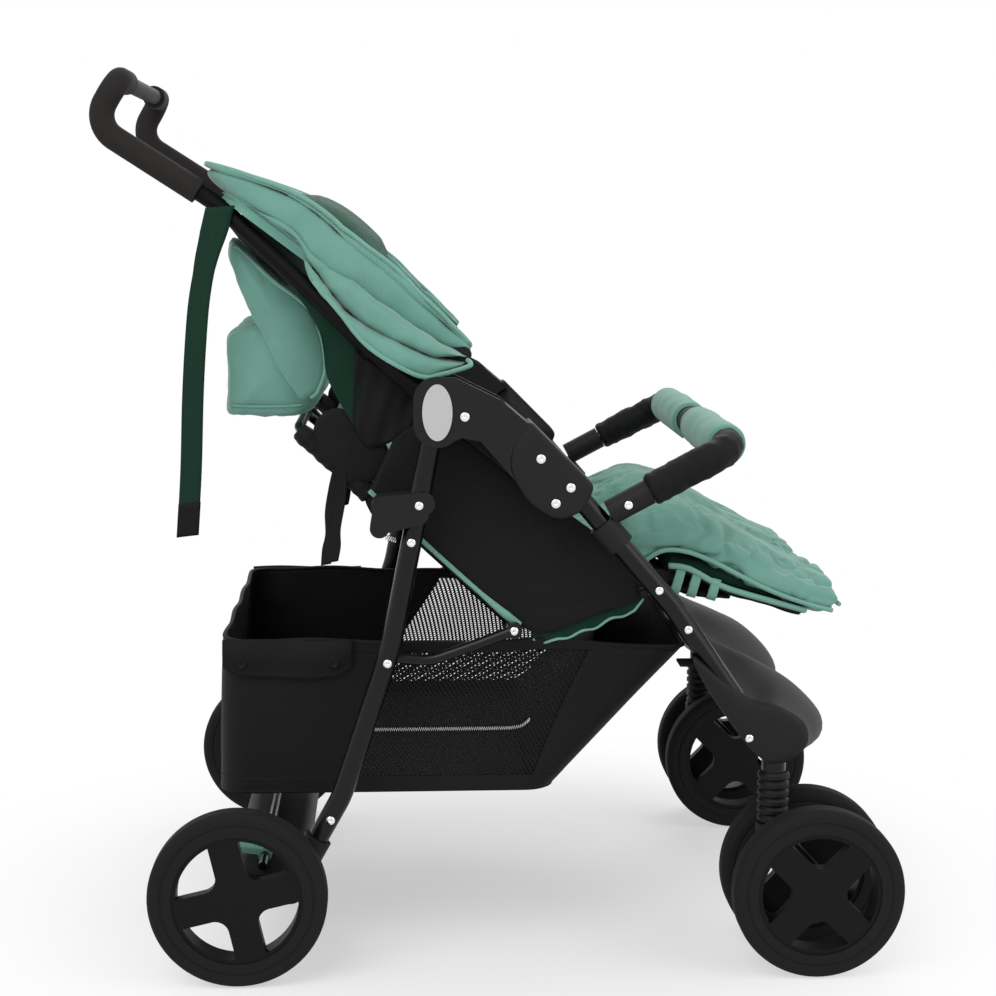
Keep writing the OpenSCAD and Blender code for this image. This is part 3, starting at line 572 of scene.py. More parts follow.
def rounded_outline(points, radii, count):
    """A closed side-view line through the corners given, each rounded off"""
    p = np.asarray(points, float)
    n = len(p)
    dense = []
    for i in range(n):
        back, ahead = p[i - 1] - p[i], p[(i + 1) % n] - p[i]
        r = min(radii[i], 0.45 * np.linalg.norm(back), 0.45 * np.linalg.norm(ahead))
        a, b = p[i] + back / np.linalg.norm(back) * r, p[i] + ahead / np.linalg.norm(ahead) * r
        dense += [(1 - t) ** 2 * a + 2 * t * (1 - t) * p[i] + t ** 2 * b for t in np.linspace(0, 1, 9)]
    return spread(np.array(dense + dense[:1]), count, True)


def side_ring(outline, share, y):
    """A side-view outline at one place across, drawn in towards its middle"""
    mid = outline.mean(axis=0)
    return [(q[0], y, q[1]) for q in mid + (outline - mid) * share]


def grid_places(rows, cols):
    """Row and column of each vertex of a grid, with its shares down and along"""
    return [(i, j, i / (rows - 1), j / (cols - 1)) for i in range(rows) for j in range(cols)]


def slab(outer, inner, rows, cols, sign):
    """Vertices and faces of a thin panel between two grids, the outer one facing right or left"""
    faces = grid_faces(rows, cols)
    base = len(outer)
    faces = turned(faces) + [tuple(k + base for k in f) for f in faces]
    rim = ([(0, j) for j in range(cols)] + [(i, cols - 1) for i in range(1, rows)]
           + [(rows - 1, j) for j in range(cols - 2, -1, -1)] + [(i, 0) for i in range(rows - 2, 0, -1)])
    rim = [i * cols + j for i, j in rim]
    faces += [(a, b, b + base, a + base) for a, b in zip(rim, rim[1:] + rim[:1])]
    return outer + inner, turned(faces, sign > 0)


def hang_sheet(obj, thick, body, offset=0.0):
    """Gives a cloth its thickness and lets it ride on its body; its flat area is worked out and not kept"""
    thicken(obj, thick, offset)
    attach(obj, body)
    declare_sheet(obj)


def stuff(obj, voxel, pressure, cap, slack, sewn):
    """Fills a closed cover as a cloth under pressure; sewn(point in mm) says where it is held by its seams"""
    settle(obj, ("REMESH", {"mode": "VOXEL", "voxel_size": voxel * MM, "use_smooth_shade": True}))
    rest = np.array([v.co for v in obj.data.vertices])
    held = obj.vertex_groups.new(name="sewn")
    held.add([i for i, p in enumerate(rest / MM) if sewn(p)], 1.0, "REPLACE")
    cloth = obj.modifiers.new("stuffing", "CLOTH")
    c = cloth.settings
    c.quality, c.mass = 5, 0.25
    c.tension_stiffness = c.compression_stiffness = 18.0
    c.shear_stiffness, c.bending_stiffness = 6.0, 0.3
    c.use_pressure, c.uniform_pressure_force = True, pressure
    c.shrink_min = -slack
    c.vertex_group_mass = "sewn"
    c.effector_weights.gravity = 0.0
    last_frame = 20
    cloth.point_cache.frame_start, cloth.point_cache.frame_end = 1, last_frame
    scene = bpy.context.scene
    for f in range(1, last_frame + 1):
        scene.frame_set(f)
    shaped = obj.evaluated_get(bpy.context.evaluated_depsgraph_get()).data
    move = np.array([v.co for v in shaped.vertices]) - rest
    far = np.linalg.norm(move, axis=1)[:, None]
    move *= np.minimum(1.0, cap * MM / np.maximum(far, 1e-9))
    obj.modifiers.remove(cloth)
    obj.vertex_groups.remove(held)
    scene.frame_set(1)
    obj.data.vertices.foreach_set("co", (rest + move).ravel())
    obj.data.update()
    return settle(obj, SMOOTH)


def coat_nodes(key, *nodes):
    for name in nodes:
        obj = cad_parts[name]
        obj.data.materials.clear()
        obj.data.materials.append(finish(key))


# Points that the pieces share with the frame, in side view (x, z)

REAR_TUBE = np.array([18.0, 398.0])
FRONT_TUBE = np.array([183.8, 449.0])
SEAT_DIR = (FRONT_TUBE - REAR_TUBE) / np.linalg.norm(FRONT_TUBE - REAR_TUBE)
SEAT_UP = np.array([-SEAT_DIR[1], SEAT_DIR[0]])
BACK_DIR = np.array([-math.cos(math.radians(43)), math.sin(math.radians(43))])
BACK_FRONT = np.array([BACK_DIR[1], -BACK_DIR[0]])
LEG_DIR = np.array([math.cos(math.radians(16)), -math.sin(math.radians(16))])
LEG_UP = np.array([-LEG_DIR[1], LEG_DIR[0]])
HOOD_PIVOT = np.array([-39.0, 718.0])
# Lower and upper edge of the folded hood, from its pivot
HOOD_LOW = [(-8, -6), (-38, -14), (-72, 0), (-111, 25), (-146, 64), (-174, 99), (-196, 136), (-252, 170),
            (-281, 186)]
HOOD_TOP = [(-2, 9), (-13, 31), (-51, 72), (-91, 122), (-140, 166), (-186, 189), (-242, 206), (-276, 215),
            (-310, 222)]


def on_seat(x, z):
    return REAR_TUBE + SEAT_DIR * x + SEAT_UP * z


def on_back(x, z):
    return REAR_TUBE + BACK_DIR * x + BACK_FRONT * z


def on_legrest(x, z):
    return FRONT_TUBE + LEG_DIR * x + LEG_UP * z


# Operators


class PRAM_OT_coat_frame(bpy.types.Operator):
    """Gives the tubes, mouldings, wheels and metal trim their finishes"""

    bl_idname = "pram.coat_frame"
    bl_label = "Coat frame"

    def execute(self, context):
        for _, s in SIDES:
            coat_nodes("tube", "front_leg_" + s, "rear_leg_" + s, "back_tube_" + s)
            coat_nodes("plastic", "hinge_cover_" + s, "leg_knuckle_" + s, "caster_fork_" + s)
            coat_nodes("hub", "rear_hub_" + s, "caster_hubs_" + s)
            coat_nodes("tyre", "rear_tyre_" + s, "caster_tyres_" + s)
            coat_nodes("boot", "boot_" + s)
            coat_nodes("grip", "grip_" + s)
            coat_nodes("black", "seat_board_" + s)
        coat_nodes("tube", "seat_front_tube", "seat_rear_tube", "seat_rails", "bumper_tube",
                   "link_bars", "brake_bar")
        coat_nodes("plastic", "bumper_sockets", "hood_brackets", "rear_axle_beam", "latch_brackets")
        coat_nodes("satin", "handle_tube")
        coat_nodes("pedal", "brake_pedals")
        coat_nodes("badge", "oval_badges")
        coat_nodes("screw", "hinge_pins", "rear_axles", "latch_springs")
        return {"FINISHED"}


class PRAM_OT_fit_screws(bpy.types.Operator):
    """Sets bright domed screw heads into the covers, legs and latches"""

    bl_idname = "pram.fit_screws"
    bl_label = "Fit screws"

    # Body, place on the right side and radius
    spots = (
        ("frame", (-40, -326.2, 652), 5.2), ("frame", (46, -327.0, 604), 5.2),
        ("frame", (80, -327.0, 571), 5.2), ("frame", (63, -327.0, 553), 5.2),
        ("frame", (183.8, -312.2, 449), 4.6), ("frame", (218, -312.2, 403), 4.6),
        ("frame", (147, -315.2, 549), 4.8), ("frame", (290, -317.4, 275), 4.6),
        ("rear_frame", (-129, -318.7, 368), 4.8), ("rear_frame", (-196, -318.7, 184), 4.8),
        ("rear_frame", (-236, -322.5, 118), 4.8), ("rear_frame", (-92, -323.8, 551), 4.8),
        ("rear_frame", (-101, -318.7, 508), 4.8), ("links", (18, -285.6, 398), 4.8),
    )
    # Share of the radius and lift, over the skirt and the dome, and then down the cross recess
    dome = ((1.06, 0.0), (1.06, 0.35), (0.98, 0.9), (0.8, 1.45), (0.52, 1.8), (0.3, 1.9))
    recess = ((0.26, 1.3), (0.12, 1.0))

    def execute(self, context):
        for k, (body, (x, y, z), r) in enumerate(self.spots):
            for sign, side in SIDES:
                place = (x, y * -sign, z)
                rings = boss_rings(place, sign, [(r * share, lift) for share, lift in self.dome])
                rings += boss_rings(place, sign, [(r * share, lift) for share, lift in self.recess], 0.45)
                add_piece("screw_%02d_%s" % (k, side), *swept(rings, sign < 0), "screw", body)
        return {"FINISHED"}


class PRAM_OT_sew_hood(bpy.types.Operator):
    """Sews the folded hood: tucks on the push tubes, a band on the front bow and the canopy between them"""

    bl_idname = "pram.sew_hood"
    bl_label = "Sew hood"

    steps = 110
    # Edges of the pleats as shares from the bundle's low edge to its top, at shares along from pivot to tip
    along = (0.0, 0.15, 0.3, 0.42, 0.52, 0.62, 1.0)
    tuck_low = (-0.25, -0.22, -0.17, -0.13, -0.14, -0.17, -0.15)
    tuck_mid = (0.26, 0.2, 0.1, 0.0, 0.0, 0.0, 0.0)
    tuck_high = (0.5, 0.48, 0.4, 0.3, 0.2, 0.11, 0.0)
    roll = (0.9, 0.86, 0.78, 0.7, 0.67, 0.72, 0.84)
    brim = (1.03, 1.0, 0.93, 0.83, 0.79, 0.84, 1.0)
    # How far the bundle's ends reach past the hood's pivots, which they hide
    nose = np.array([13.0, -3.0])
    # Depth of the bundle at its sides, and how far in from the sides its outer corners reach
    deep, corner = 23, 70
    # Shares of the way round: one side, one corner, and half of the tip
    side_part, corner_part, tip_part = 0.36, 0.08, 0.06
    # Shares along at which the sides start and end, and where the tip's outer edge lies
    side_start, side_end, tip_end = 0.01, 0.75, 0.995
    # Places along of two points of the push tubes, and the tubes' places across there
    tube_x, tube_y = (-321, -116), (216, 282)
    # Side-view directions along the canopy and across its layers
    canopy_out, canopy_rise = np.array([-0.8, 0.6]), np.array([0.6, 0.8])

    def execute(self, context):
        hood = context.scene.pram_hood
        half = hood.half_width / MM
        self.low = smooth_path(HOOD_LOW, 200) + HOOD_PIVOT
        self.top = smooth_path(HOOD_TOP, 200) + HOOD_PIVOT
        tucks = [self.pleat(self.tuck_mid, self.tuck_high, half + 1, 0.0, 0.07)]
        rear = self.join("hood_rear_tucks", tucks, hood.crease, 3, "push_frame")
        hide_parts("hood_rear")
        for sign, side in SIDES:
            leaves = [self.leaf(self.tuck_low, self.tuck_mid, half, sign, 0.64, 15.0),
                      self.leaf(self.tuck_mid, [f + 0.05 for f in self.tuck_high], half, sign, 0.56, 9.0)]
            outer = self.join("hood_tube_tucks_" + side, leaves, hood.crease, 5, "push_frame")
            self.fold_flat(outer, sign, half)
        bands = [self.pleat(self.tuck_high, self.roll, half, 0.0, 0.06),
                 self.pleat(self.roll, self.brim, half, 0.06, 0.02)]
        front = self.join("hood_front_band", bands, hood.crease, 11, "hood")
        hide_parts("hood_front")
        self.hem("hood_brim_piping", self.roll, [f + 0.03 for f in self.brim], half, "hood")
        for sign, side in SIDES:
            self.tuck_piping(sign, side, half)
        self.canopy(half)
        self.window_flap()
        return {"FINISHED"}

    def spot(self, share, y, f):
        """A point of the bundle: share from pivot to tip, place across, share from low edge to top"""
        last = len(self.low) - 1
        k = min(max(share, 0.0), 1.0) * last
        i = min(int(k), last - 1)
        t = k - i
        a = self.low[i] * (1 - t) + self.low[i + 1] * t
        b = self.top[i] * (1 - t) + self.top[i + 1] * t
        p = a * (1 - f) + b * f + self.nose * max(0.0, 1 - share / 0.06)
        return np.array([p[0], y, p[1]])

    def route(self, q, half):
        """Inner and outer (share, y) of the bundle at q, from the right pivot over the tip to the left"""
        mirrored = q > 0.5
        q = 1 - q if mirrored else q
        turn = q - self.side_part
        if turn < 0:
            s = self.side_start + q / self.side_part * (self.side_end - self.side_start)
            inner, outer = (s, -half + self.deep), (s, -half)
        elif turn < self.corner_part:
            a = turn / self.corner_part * math.pi / 2
            inner = (0.69 + 0.06 * math.sin(a), -half + self.deep + 12 * (1 - math.cos(a)))
            outer_share = self.side_end + (self.tip_end - self.side_end) * math.sin(a)
            outer = (outer_share, -half + self.corner * (1 - math.cos(a)))
        else:
            y = (-half + self.corner) * (1 - (turn - self.corner_part) / self.tip_part)
            inner = (self.side_end, y * (half - self.deep - 12) / (half - self.corner))
            outer = (self.tip_end, y)
        if mirrored:
            inner, outer = (inner[0], -inner[1]), (outer[0], -outer[1])
        return inner, outer

    def skin_point(self, inner, outer, f0, f1, tuck, t):
        """A point of a pleat's skin, where t turns from its outer side over its top"""
        m = (0.5 + 0.5 * power(math.cos(t), 0.6)) * (1 - tuck)
        h = 0.5 + 0.5 * power(math.sin(t), 0.8)
        share = inner[0] * (1 - m) + outer[0] * m
        y = inner[1] * (1 - m) + outer[1] * m
        k = np.clip(share, 0, 1)
        a, b = np.interp(k, self.along, f0), np.interp(k, self.along, f1)
        return self.spot(share, y, a + (b - a) * h)

    def section(self, inner, outer, f0, f1, tuck):
        """One closed ring of a pleat, fuller on its outer side"""
        return [self.skin_point(inner, outer, f0, f1, tuck, t) for t in angles(22)]

    def pleat(self, f0, f1, half, tuck, lap):
        """Rings of a pleat that runs right round the bundle"""
        f1 = [f + lap for f in f1]
        return [self.section(*self.route(q, half), f0, f1, tuck) for q in np.linspace(0, 1, self.steps)]

    def past_tube(self, share, over):
        """How far out a tuck reaches so that it lies over the push tube"""
        x = self.spot(share, 0.0, 0.0)[0]
        return np.interp(x, self.tube_x, self.tube_y) + over

    def leaf(self, f0, f1, half, sign, reach, over):
        """Rings of a tuck on one side that lies over the push tube, rounded off at both ends"""
        rings = []
        for u in np.linspace(0, 1, 60):
            s = 0.005 + reach * u
            end = rounded_end(min((1 - u) / 0.16, u / 0.1))
            inner, outer = (s, sign * (half - self.deep)), (s, sign * self.past_tube(s, over))
            ring = np.array(self.section(inner, outer, f0, f1, 0.0))
            mid = ring.mean(axis=0)
            blunt = 0.5 if u < 0.5 else 0.2
            rings.append(mid + (ring - mid) * (blunt + (1 - blunt) * end))
        return rings

    def join(self, name, runs, height, seed, body):
        """One creased piece from several pleats"""
        verts, faces = [], []
        for rings in runs:
            v, f = swept(rings)
            base = len(verts)
            verts.extend(v)
            faces.extend([tuple(i + base for i in face) for face in f])
        obj = add_piece(name, verts, faces, "green")
        ripple(obj, height, 0.06, seed, (1, 0.6, 1))
        ripple(obj, height * 0.5, 0.022, seed + 4, (0.6, 0.5, 1.2))
        settle(obj, SMOOTH)
        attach(obj, body)
        return obj

    def hem(self, name, f0, f1, half, body):
        """Piping along the outer edge of a pleat's top"""
        points = [self.skin_point(*self.route(q, half), f0, f1, 0.0, math.radians(50))
                  for q in np.linspace(0, 1, 150)]
        add_piping(name, smooth_path(points, 240), bpy.context.scene.pram_cloth.piping / MM, body)

    def fold_flat(self, obj, sign, half):
        """Gives the piece a mesh of its own; nothing is pressed in"""
        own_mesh(obj)

    def tuck_piping(self, sign, side, half):
        """Piped lower edge of the tucks, which turns up round the pivot end"""
        points = []
        for t in np.linspace(0.58, 0.03, 40):
            f = np.interp(t, self.along, self.tuck_low) + 0.05
            points.append(self.spot(t, sign * (self.past_tube(t, 13.0)), f))
        reach = self.past_tube(0.0, 12.0)
        turn_up = ((-0.12, 1), (0.04, 1.5), (0.16, 0), (0.24, -3))
        points += [self.spot(0.0, sign * (reach - 5 * k), f) + np.array([ahead, 0, 0])
                   for k, (f, ahead) in enumerate(turn_up)]
        obj = add_piping("hood_tuck_piping_" + side, smooth_path(points, 90), 2.8, "push_frame")
        self.fold_flat(obj, sign, half)

    def canopy(self, half):
        """Cloth that lies folded in the bundle, where the real canopy fans out when the hood opens; this
        piece stays folded
        """
        rows, cols = 61, 120
        near, far, turn, inset = 40, 290, 52, 12
        tip = far + turn
        edge = half - inset
        path = [(r, -edge) for r in np.linspace(near, far, 12)]
        path += [(far + turn * math.sin(a), -edge + turn * (1 - math.cos(a)))
                 for a in np.linspace(0.2, math.pi / 2, 7)]
        path += [(tip, y) for y in np.linspace(-half + 85, half - 85, 13)]
        path += [(tip - turn * (1 - math.cos(a)), edge - turn + turn * math.sin(a))
                 for a in np.linspace(0, math.pi / 2 - 0.2, 7)]
        path += [(r, edge) for r in np.linspace(far, near, 12)]
        path = smooth_path(path, cols)
        verts = []
        for t in np.arange(rows) / (rows - 1):
            fold = 5.0 * abs(math.sin(4 * math.pi * t))
            # The rear edge is tucked in under the rear tucks
            tucked = (1 - t) ** 6
            for r, y in path:
                shrink = 1 - fold / tip - 0.03 * tucked
                p = HOOD_PIVOT + self.canopy_out * r * shrink + self.canopy_rise * (-15 + 10 * t - 9 * tucked)
                verts.append((p[0], y * (1 - fold / 900), p[1]))
        obj = add_piece("hood_canopy", verts, grid_faces(rows, cols), "green")
        self.layer(-15)
        self.layer(-5)
        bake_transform(obj)
        declare_sheet(obj, flat_area(obj))

    def layer(self, n):
        """A point of the canopy's fold, n across its layers, in metres"""
        p = HOOD_PIVOT + self.canopy_out * 200 + self.canopy_rise * n
        return (p[0] * MM, 0.0, p[1] * MM)

    def window_flap(self):
        """Deep green net window that spans the bundle from side to side"""
        rows, cols = 26, 46
        verts, uvs = [], []
        for _, _, u, across in grid_places(rows, cols):
            v = 2 * across - 1
            share = 0.355 + 0.36 * u
            edge = np.interp(share, self.along, self.brim) - 0.04
            rise = (1.0 - edge) * (1 - v ** 8) * min(1.0, 5 * u + 0.45, 4 * (1 - u))
            p = self.spot(share, 0.0, edge + rise + 0.012 * math.sin(9 * v + 7 * u))
            verts.append((p[0], v * 244, p[2]))
            uvs.append((u * 0.16, v * 0.24))
        obj = add_piece("hood_window_flap", verts, grid_faces(rows, cols), "window", None, uvs)
        settle(obj, SMOOTH)
        hang_sheet(obj, 1.4, "hood")


class PRAM_OT_sew_curtain(bpy.types.Operator):
    """Hangs the cloth behind the seats: flap, pouch, black side wings, and deep green sheets that are painted
    shade in the hollows beside the seats and under the hood
    """

    bl_idname = "pram.sew_curtain"
    bl_label = "Sew curtain"

    # Side-view corners of both bags with the radii that round them off
    pouch = ((-319, 741), (-318, 641), (-226, 640), (-203, 668), (-206, 730), (-262, 752))
    pouch_round = (14, 10, 16, 14, 20, 12)
    flap = ((-310, 850), (-262, 808), (-211, 766), (-196, 708), (-207, 668), (-228, 655), (-252, 690),
            (-283, 752), (-312, 826))
    flap_round = (6, 30, 26, 30, 16, 12, 40, 30, 8)
    hem = ((-313, 655), (-290, 653.5), (-250, 653.5), (-228, 655))
    edge = ((-218, 664), (-209, 672), (-200, 706), (-214, 762), (-262, 803), (-304, 842))

    def execute(self, context):
        self.volume("curtain_pouch", rounded_outline(self.pouch, self.pouch_round, 84), 196.0, 7, 0.0045)
        over = self.volume("curtain_flap", rounded_outline(self.flap, self.flap_round, 96), 206.0, 13, 0.004)
        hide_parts("back_curtain")
        for sign, side in SIDES:
            hem = [(x, sign * 197.5, z) for x, z in self.hem]
            add_tube("curtain_hem_" + side, smooth_path(hem, 40), 1.5, "green", "push_frame", 8)
            edge = [(x, sign * 205, z) for x, z in self.edge]
            add_piping("curtain_piping_" + side, smooth_path(edge, 70), 2.4, "push_frame")
            self.side_wing(sign, side)
        self.hollow_shade_sheet()
        return {"FINISHED"}

    def volume(self, name, outline, half, seed, height):
        """A slack bag of cloth with soft upright folds and rounded ends"""
        count = 75
        rings = []
        for j in range(count):
            v = 2 * j / (count - 1) - 1
            end = rounded_end((1 - abs(v)) / 0.07)
            k = (0.9 + 0.1 * end) * (1 + 0.02 * math.sin(v * 15 + seed) + 0.012 * math.sin(v * 29 + 1))
            rings.append(side_ring(outline, k, half * v))
        obj = add_piece(name, *swept(rings), "green", "push_frame")
        ripple(obj, height, 0.07, seed, (1, 1.4, 0.7))
        ripple(obj, height * 0.4, 0.025, seed + 3, (1, 1, 0.5))
        return obj

    def side_wing(self, sign, side):
        """Cloth that closes the side between the hood and the seat: a black wing in front, and behind it a
        deep green sheet that is painted shade in the hollow
        """
        self.side_sheet("side_wing_" + side, "black", sign, 206.0,
                        [(-164, 724), (-146, 712), (-120, 702), (-96, 694), (-70, 690)],
                        [(-168, 646), (-160, 622), (-146, 610), (-120, 618), (-84, 642)])
        # Painted shade: a deep green sheet standing in for the shade in the hollow behind the black wing
        self.side_sheet("side_painted_shade_sheet_" + side, "deep_green", sign, 204.5,
                        [(-318, 874), (-270, 832), (-224, 790), (-186, 752), (-152, 716)],
                        [(-300, 852), (-242, 800), (-205, 744), (-196, 690), (-166, 634)])

    def side_sheet(self, name, key, sign, rear_y, top, low):
        rows, cols = 16, 34
        top, low = smooth_path(top, cols), smooth_path(low, cols)
        outer, inner = [], []
        for _, j, v, _ in grid_places(rows, cols):
            p = top[j] * (1 - v) + low[j] * v
            reach = rear_y + 47.5 * min(1.0, max(0.0, (p[0] + 310) / 80))
            wave = 0.9 * math.sin(6 * v + j * 0.35) + 0.5 * math.sin(j * 0.9 + 3 * v)
            outer.append((p[0], sign * (reach + wave), p[1]))
            inner.append((p[0], sign * (reach + wave - 2.0), p[1]))
        obj = add_piece(name, *slab(outer, inner, rows, cols, sign), key, "push_frame")
        declare_sheet(obj)

    def hollow_shade_sheet(self):
        """Deep green sheet between the push tubes, from the tip of the hood down to the side wings: painted
        shade in the hollow under the hood
        """
        line = smooth_path([(-316, 884), (-288, 856), (-262, 830), (-236, 806), (-212, 782), (-192, 758)], 30)
        rows, cols = len(line), 41
        verts = []
        for k, p in enumerate(line):
            reach = 204 + 22 * min(1.0, k / 14)
            for v in np.linspace(-1, 1, cols):
                sag = 9 * (1 - v * v)
                z = p[1] - 0.5 * sag + 2.5 * math.sin(9 * v + k * 0.3)
                verts.append((p[0] - 0.5 * sag, v * reach, z))
        obj = add_piece("hood_painted_shade_sheet", verts, grid_faces(rows, cols), "deep_green")
        hang_sheet(obj, 1.6, "push_frame")


class PRAM_OT_sew_seats(bpy.types.Operator):
    """Sews the seat covers that run on over the leg rests, the backrests and the leg rest boards"""

    bl_idname = "pram.sew_seats"
    bl_label = "Sew seats"

    # Width of the sewn seam along the sides of a stuffed cover
    seam = 9
    # Share of the wing's outline and lift, over its outer face, round its edge and along its inner face
    wing_shape = ((0.02, 3.4), (0.5, 3.2), (0.84, 2.7), (0.97, 1.6), (1.0, 0.2), (0.97, -1.4), (0.84, -2.4),
                  (0.02, -2.6))
    # Share of the ear's outline and place across, from one face to the other
    ear_shape = ((0.8, -7.5), (0.95, -7.0), (1.0, -6.0), (1.0, 6.0), (0.95, 7.0), (0.8, 7.5))

    def execute(self, context):
        seat = context.scene.pram_seat
        inner, outer = seat.inner / MM, seat.outer / MM
        for sign, side in SIDES:
            y0, y1 = sign * inner, sign * outer
            self.seat_cover(side, y0, y1, seat.wrinkle)
            self.backrest(side, y0 + sign * 4, y1 - sign * 5, seat.wrinkle)
            self.legrest_board(side, y0 + sign * 5, y1 - sign * 5)
        return {"FINISHED"}

    def bend_with_legrest(self, obj, side):
        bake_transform(obj)

    def fill(self, obj, y0, y1, cap):
        """Stuffs a cover that is sewn along both sides"""
        y_low, y_high = sorted((y0, y1))
        stuff(obj, 5.0, 3.5, cap, 0.05, lambda p: p[1] < y_low + self.seam or p[1] > y_high - self.seam)

    def edge_piping(self, name, side, line, u, y0, y1, rise, count, radius, body):
        """Piping along both drawn-in sides of a cover"""
        pipes = []
        for edge, y in (("inner", y0), ("outer", y1)):
            inward = (1 if y < 0 else -1) * (1 if edge == "outer" else -1)
            points = [(p[0], y + inward * (4.0 * math.sin(math.pi * t) - 1.0), p[1] + rise)
                      for p, t in zip(line, u)]
            label = "%s_piping_%s_%s" % (name, edge, side)
            pipes.append(add_piping(label, smooth_path(points, count), radius, body))
        return pipes

    def seat_cover(self, side, y0, y1, wrinkle):
        low = [on_seat(*p) for p in ((24, 15), (60, 15), (100, 15), (140, 16), (164, 20))]
        low += [on_legrest(*p) for p in ((2, 33), (28, 40), (60, 38), (95, 31), (130, 24), (165, 20),
                                         (195, 19), (224, 20))]
        low = smooth_path(low, 72)
        u = np.linspace(0, 1, 72)
        thick = np.interp(u, [0, 0.3, 0.45, 0.6, 0.8, 0.95, 1], [32, 32, 32, 28, 24, 24, 24])
        crown = np.interp(u, [0, 0.12, 0.35, 0.45, 0.55, 0.8, 1], [6, 20, 22, 20, 16, 13, 8])
        rings = pad_rings(low, thick, crown, y0, y1, 4.0, 40, 0.03)
        obj = add_piece("seat_cover_" + side, *swept(rings), "green")
        seed = 7 if side == "right" else 19
        ripple(obj, wrinkle * 0.8, 0.05, seed, (1, 0.7, 1))
        ripple(obj, wrinkle * 0.7, 0.018, seed + 5, (0.35, 1.0, 0.35))
        self.fill(obj, y0, y1, 7.0)
        # The leg rest, in front, is creased more than the seat
        crease(obj, 0.006, 0.05, seed + 2, (1.0, 0.9, 1.6), lambda p: np.interp(p[0], (60, 170), (0.35, 1.0)))
        crease(obj, 0.0025, 0.024, seed + 8, (0.8, 1.3, 1.0))
        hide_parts("seat_" + side, "legrest_" + side)
        self.bend_with_legrest(obj, side)
        pipes = self.edge_piping("seat", side, low[3:-1], u[3:-1], y0, y1, 4, 100, 2.8, None)
        end = low[-1] + LEG_UP * thick[-1] / 2 + LEG_DIR * 0.5
        tip = [(end[0], y, end[1]) for y in np.linspace(y0 * 0.97 + y1 * 0.03, y0 * 0.03 + y1 * 0.97, 30)]
        pipes.append(add_piping("seat_tip_piping_" + side, tip, 2.8))
        for pipe in pipes:
            self.bend_with_legrest(pipe, side)

    def backrest(self, side, y0, y1, wrinkle):
        n = 44
        low = np.array([on_back(x, 6.6) for x in np.linspace(82, 312, n)])
        u = np.linspace(0, 1, n)
        thick = np.interp(u, [0, 0.5, 1], [24, 23, 22])
        crown = np.interp(u, [0, 0.15, 0.5, 0.85, 1], [5, 14, 16, 13, 4])
        rings = pad_rings(low[::-1], thick, crown, y0, y1, 4.0, 40, 0.06)
        obj = add_piece("backrest_pad_" + side, *swept(rings), "green")
        ripple(obj, wrinkle * 0.8, 0.06, 23 if side == "right" else 31, (1, 0.8, 1))
        self.fill(obj, y0, y1, 6.0)
        crease(obj, 0.003, 0.06, 27 if side == "right" else 33)
        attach(obj, "back_" + side)
        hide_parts("backrest_" + side)
        self.edge_piping("backrest", side, low, u, y0, y1, 0, 60, 2.6, "back_" + side)
        self.wing(side, y1)

    def wing(self, side, y):
        """Black rounded wing at the top of the backrest, with its tube sleeve"""
        sign = RIGHT if y < 0 else LEFT
        centre = on_back(283, 29)
        half_long, half_high, round_corner = 50, 32, 0.85
        rings = []
        for share, lift in self.wing_shape:
            ring = []
            for a in angles(40):
                along = half_long * share * power(math.cos(a), round_corner)
                up = half_high * share * power(math.sin(a), round_corner)
                p = centre + BACK_DIR * along + BACK_FRONT * up
                ring.append((p[0], y + sign * (4.2 + lift + 0.8 * share * math.sin(3 * a)), p[1]))
            rings.append(ring)
        obj = add_piece("back_wing_" + side, *swept(rings, sign > 0), "black", "back_" + side)
        points = [on_back(x, -1) for x in np.linspace(226, 340, 40)]
        radii = [11.5 + 0.5 * math.sin(k * 1.3) + 0.4 * math.sin(k * 0.6) for k in range(40)]
        radii[0] = radii[-1] = 8.0
        line = [(p[0], sign * 236, p[1]) for p in points]
        add_tube("back_sleeve_" + side, line, radii, "black", "back_" + side, 18)

    def legrest_board(self, side, y0, y1):
        n = 40
        xs = np.linspace(14, 186, n)
        arch = 11 * np.exp(-((xs - 34) / 34) ** 2)
        low = np.array([on_legrest(x, 5.5 + a) for x, a in zip(xs, arch)])
        rings = pad_rings(low, np.full(n, 8.0), np.full(n, 1.2), y0, y1, 2.0, 28, 0.04)
        obj = add_piece("legrest_base_" + side, *swept(rings), "black", "leg_rest_" + side)
        ripple(obj, 0.0014, 0.04, 41)
        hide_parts("legrest_board_" + side)
        lift = LEG_UP * 8.5
        edge = [(p[0] + lift[0], y1, p[1] + lift[1]) for p in low]
        tip = [(low[-1][0] + 2 + lift[0], y, low[-1][1] + lift[1]) for y in np.linspace(y1, y0, 14)[1:-1]]
        back = [(p[0] + lift[0], y0, p[1] + lift[1]) for p in low[::-1]]
        add_piping("legrest_piping_" + side, smooth_path(edge + tip + back, 160), 3.6, "leg_rest_" + side)
        self.fixing_loops(side, y1)
        self.brackets(side, y0, y1)
        inset = 9 if y1 < 0 else -9
        self.layer("legrest_lining_" + side, side, "deep_green", (12, 40, 80, 120, 160, 190),
                   (15, 17, 15, 14, 13.5, 13.5), (22, 20, 17, 12, 8, 7), y0 - inset, y1 + inset)
        self.layer("legrest_bunch_" + side, side, "black", (20, 45, 70, 100),
                   (-6, -10, -6, 2), (10, 15, 11, 4), y0 - inset * 3, y1 + inset * 0.8)

    def layer(self, name, side, key, xs, zs, thick, y0, y1):
        """A soft layer above or below the leg rest board"""
        at = np.linspace(xs[0], xs[-1], 30)
        low = np.array([on_legrest(x, np.interp(x, xs, zs)) for x in at])
        rings = pad_rings(low, np.interp(at, xs, thick), np.full(30, 1.0), y0, y1, 2.0, 28, 0.04)
        obj = add_piece(name, *swept(rings), key, "leg_rest_" + side)
        ripple(obj, 0.0016, 0.03, len(name))

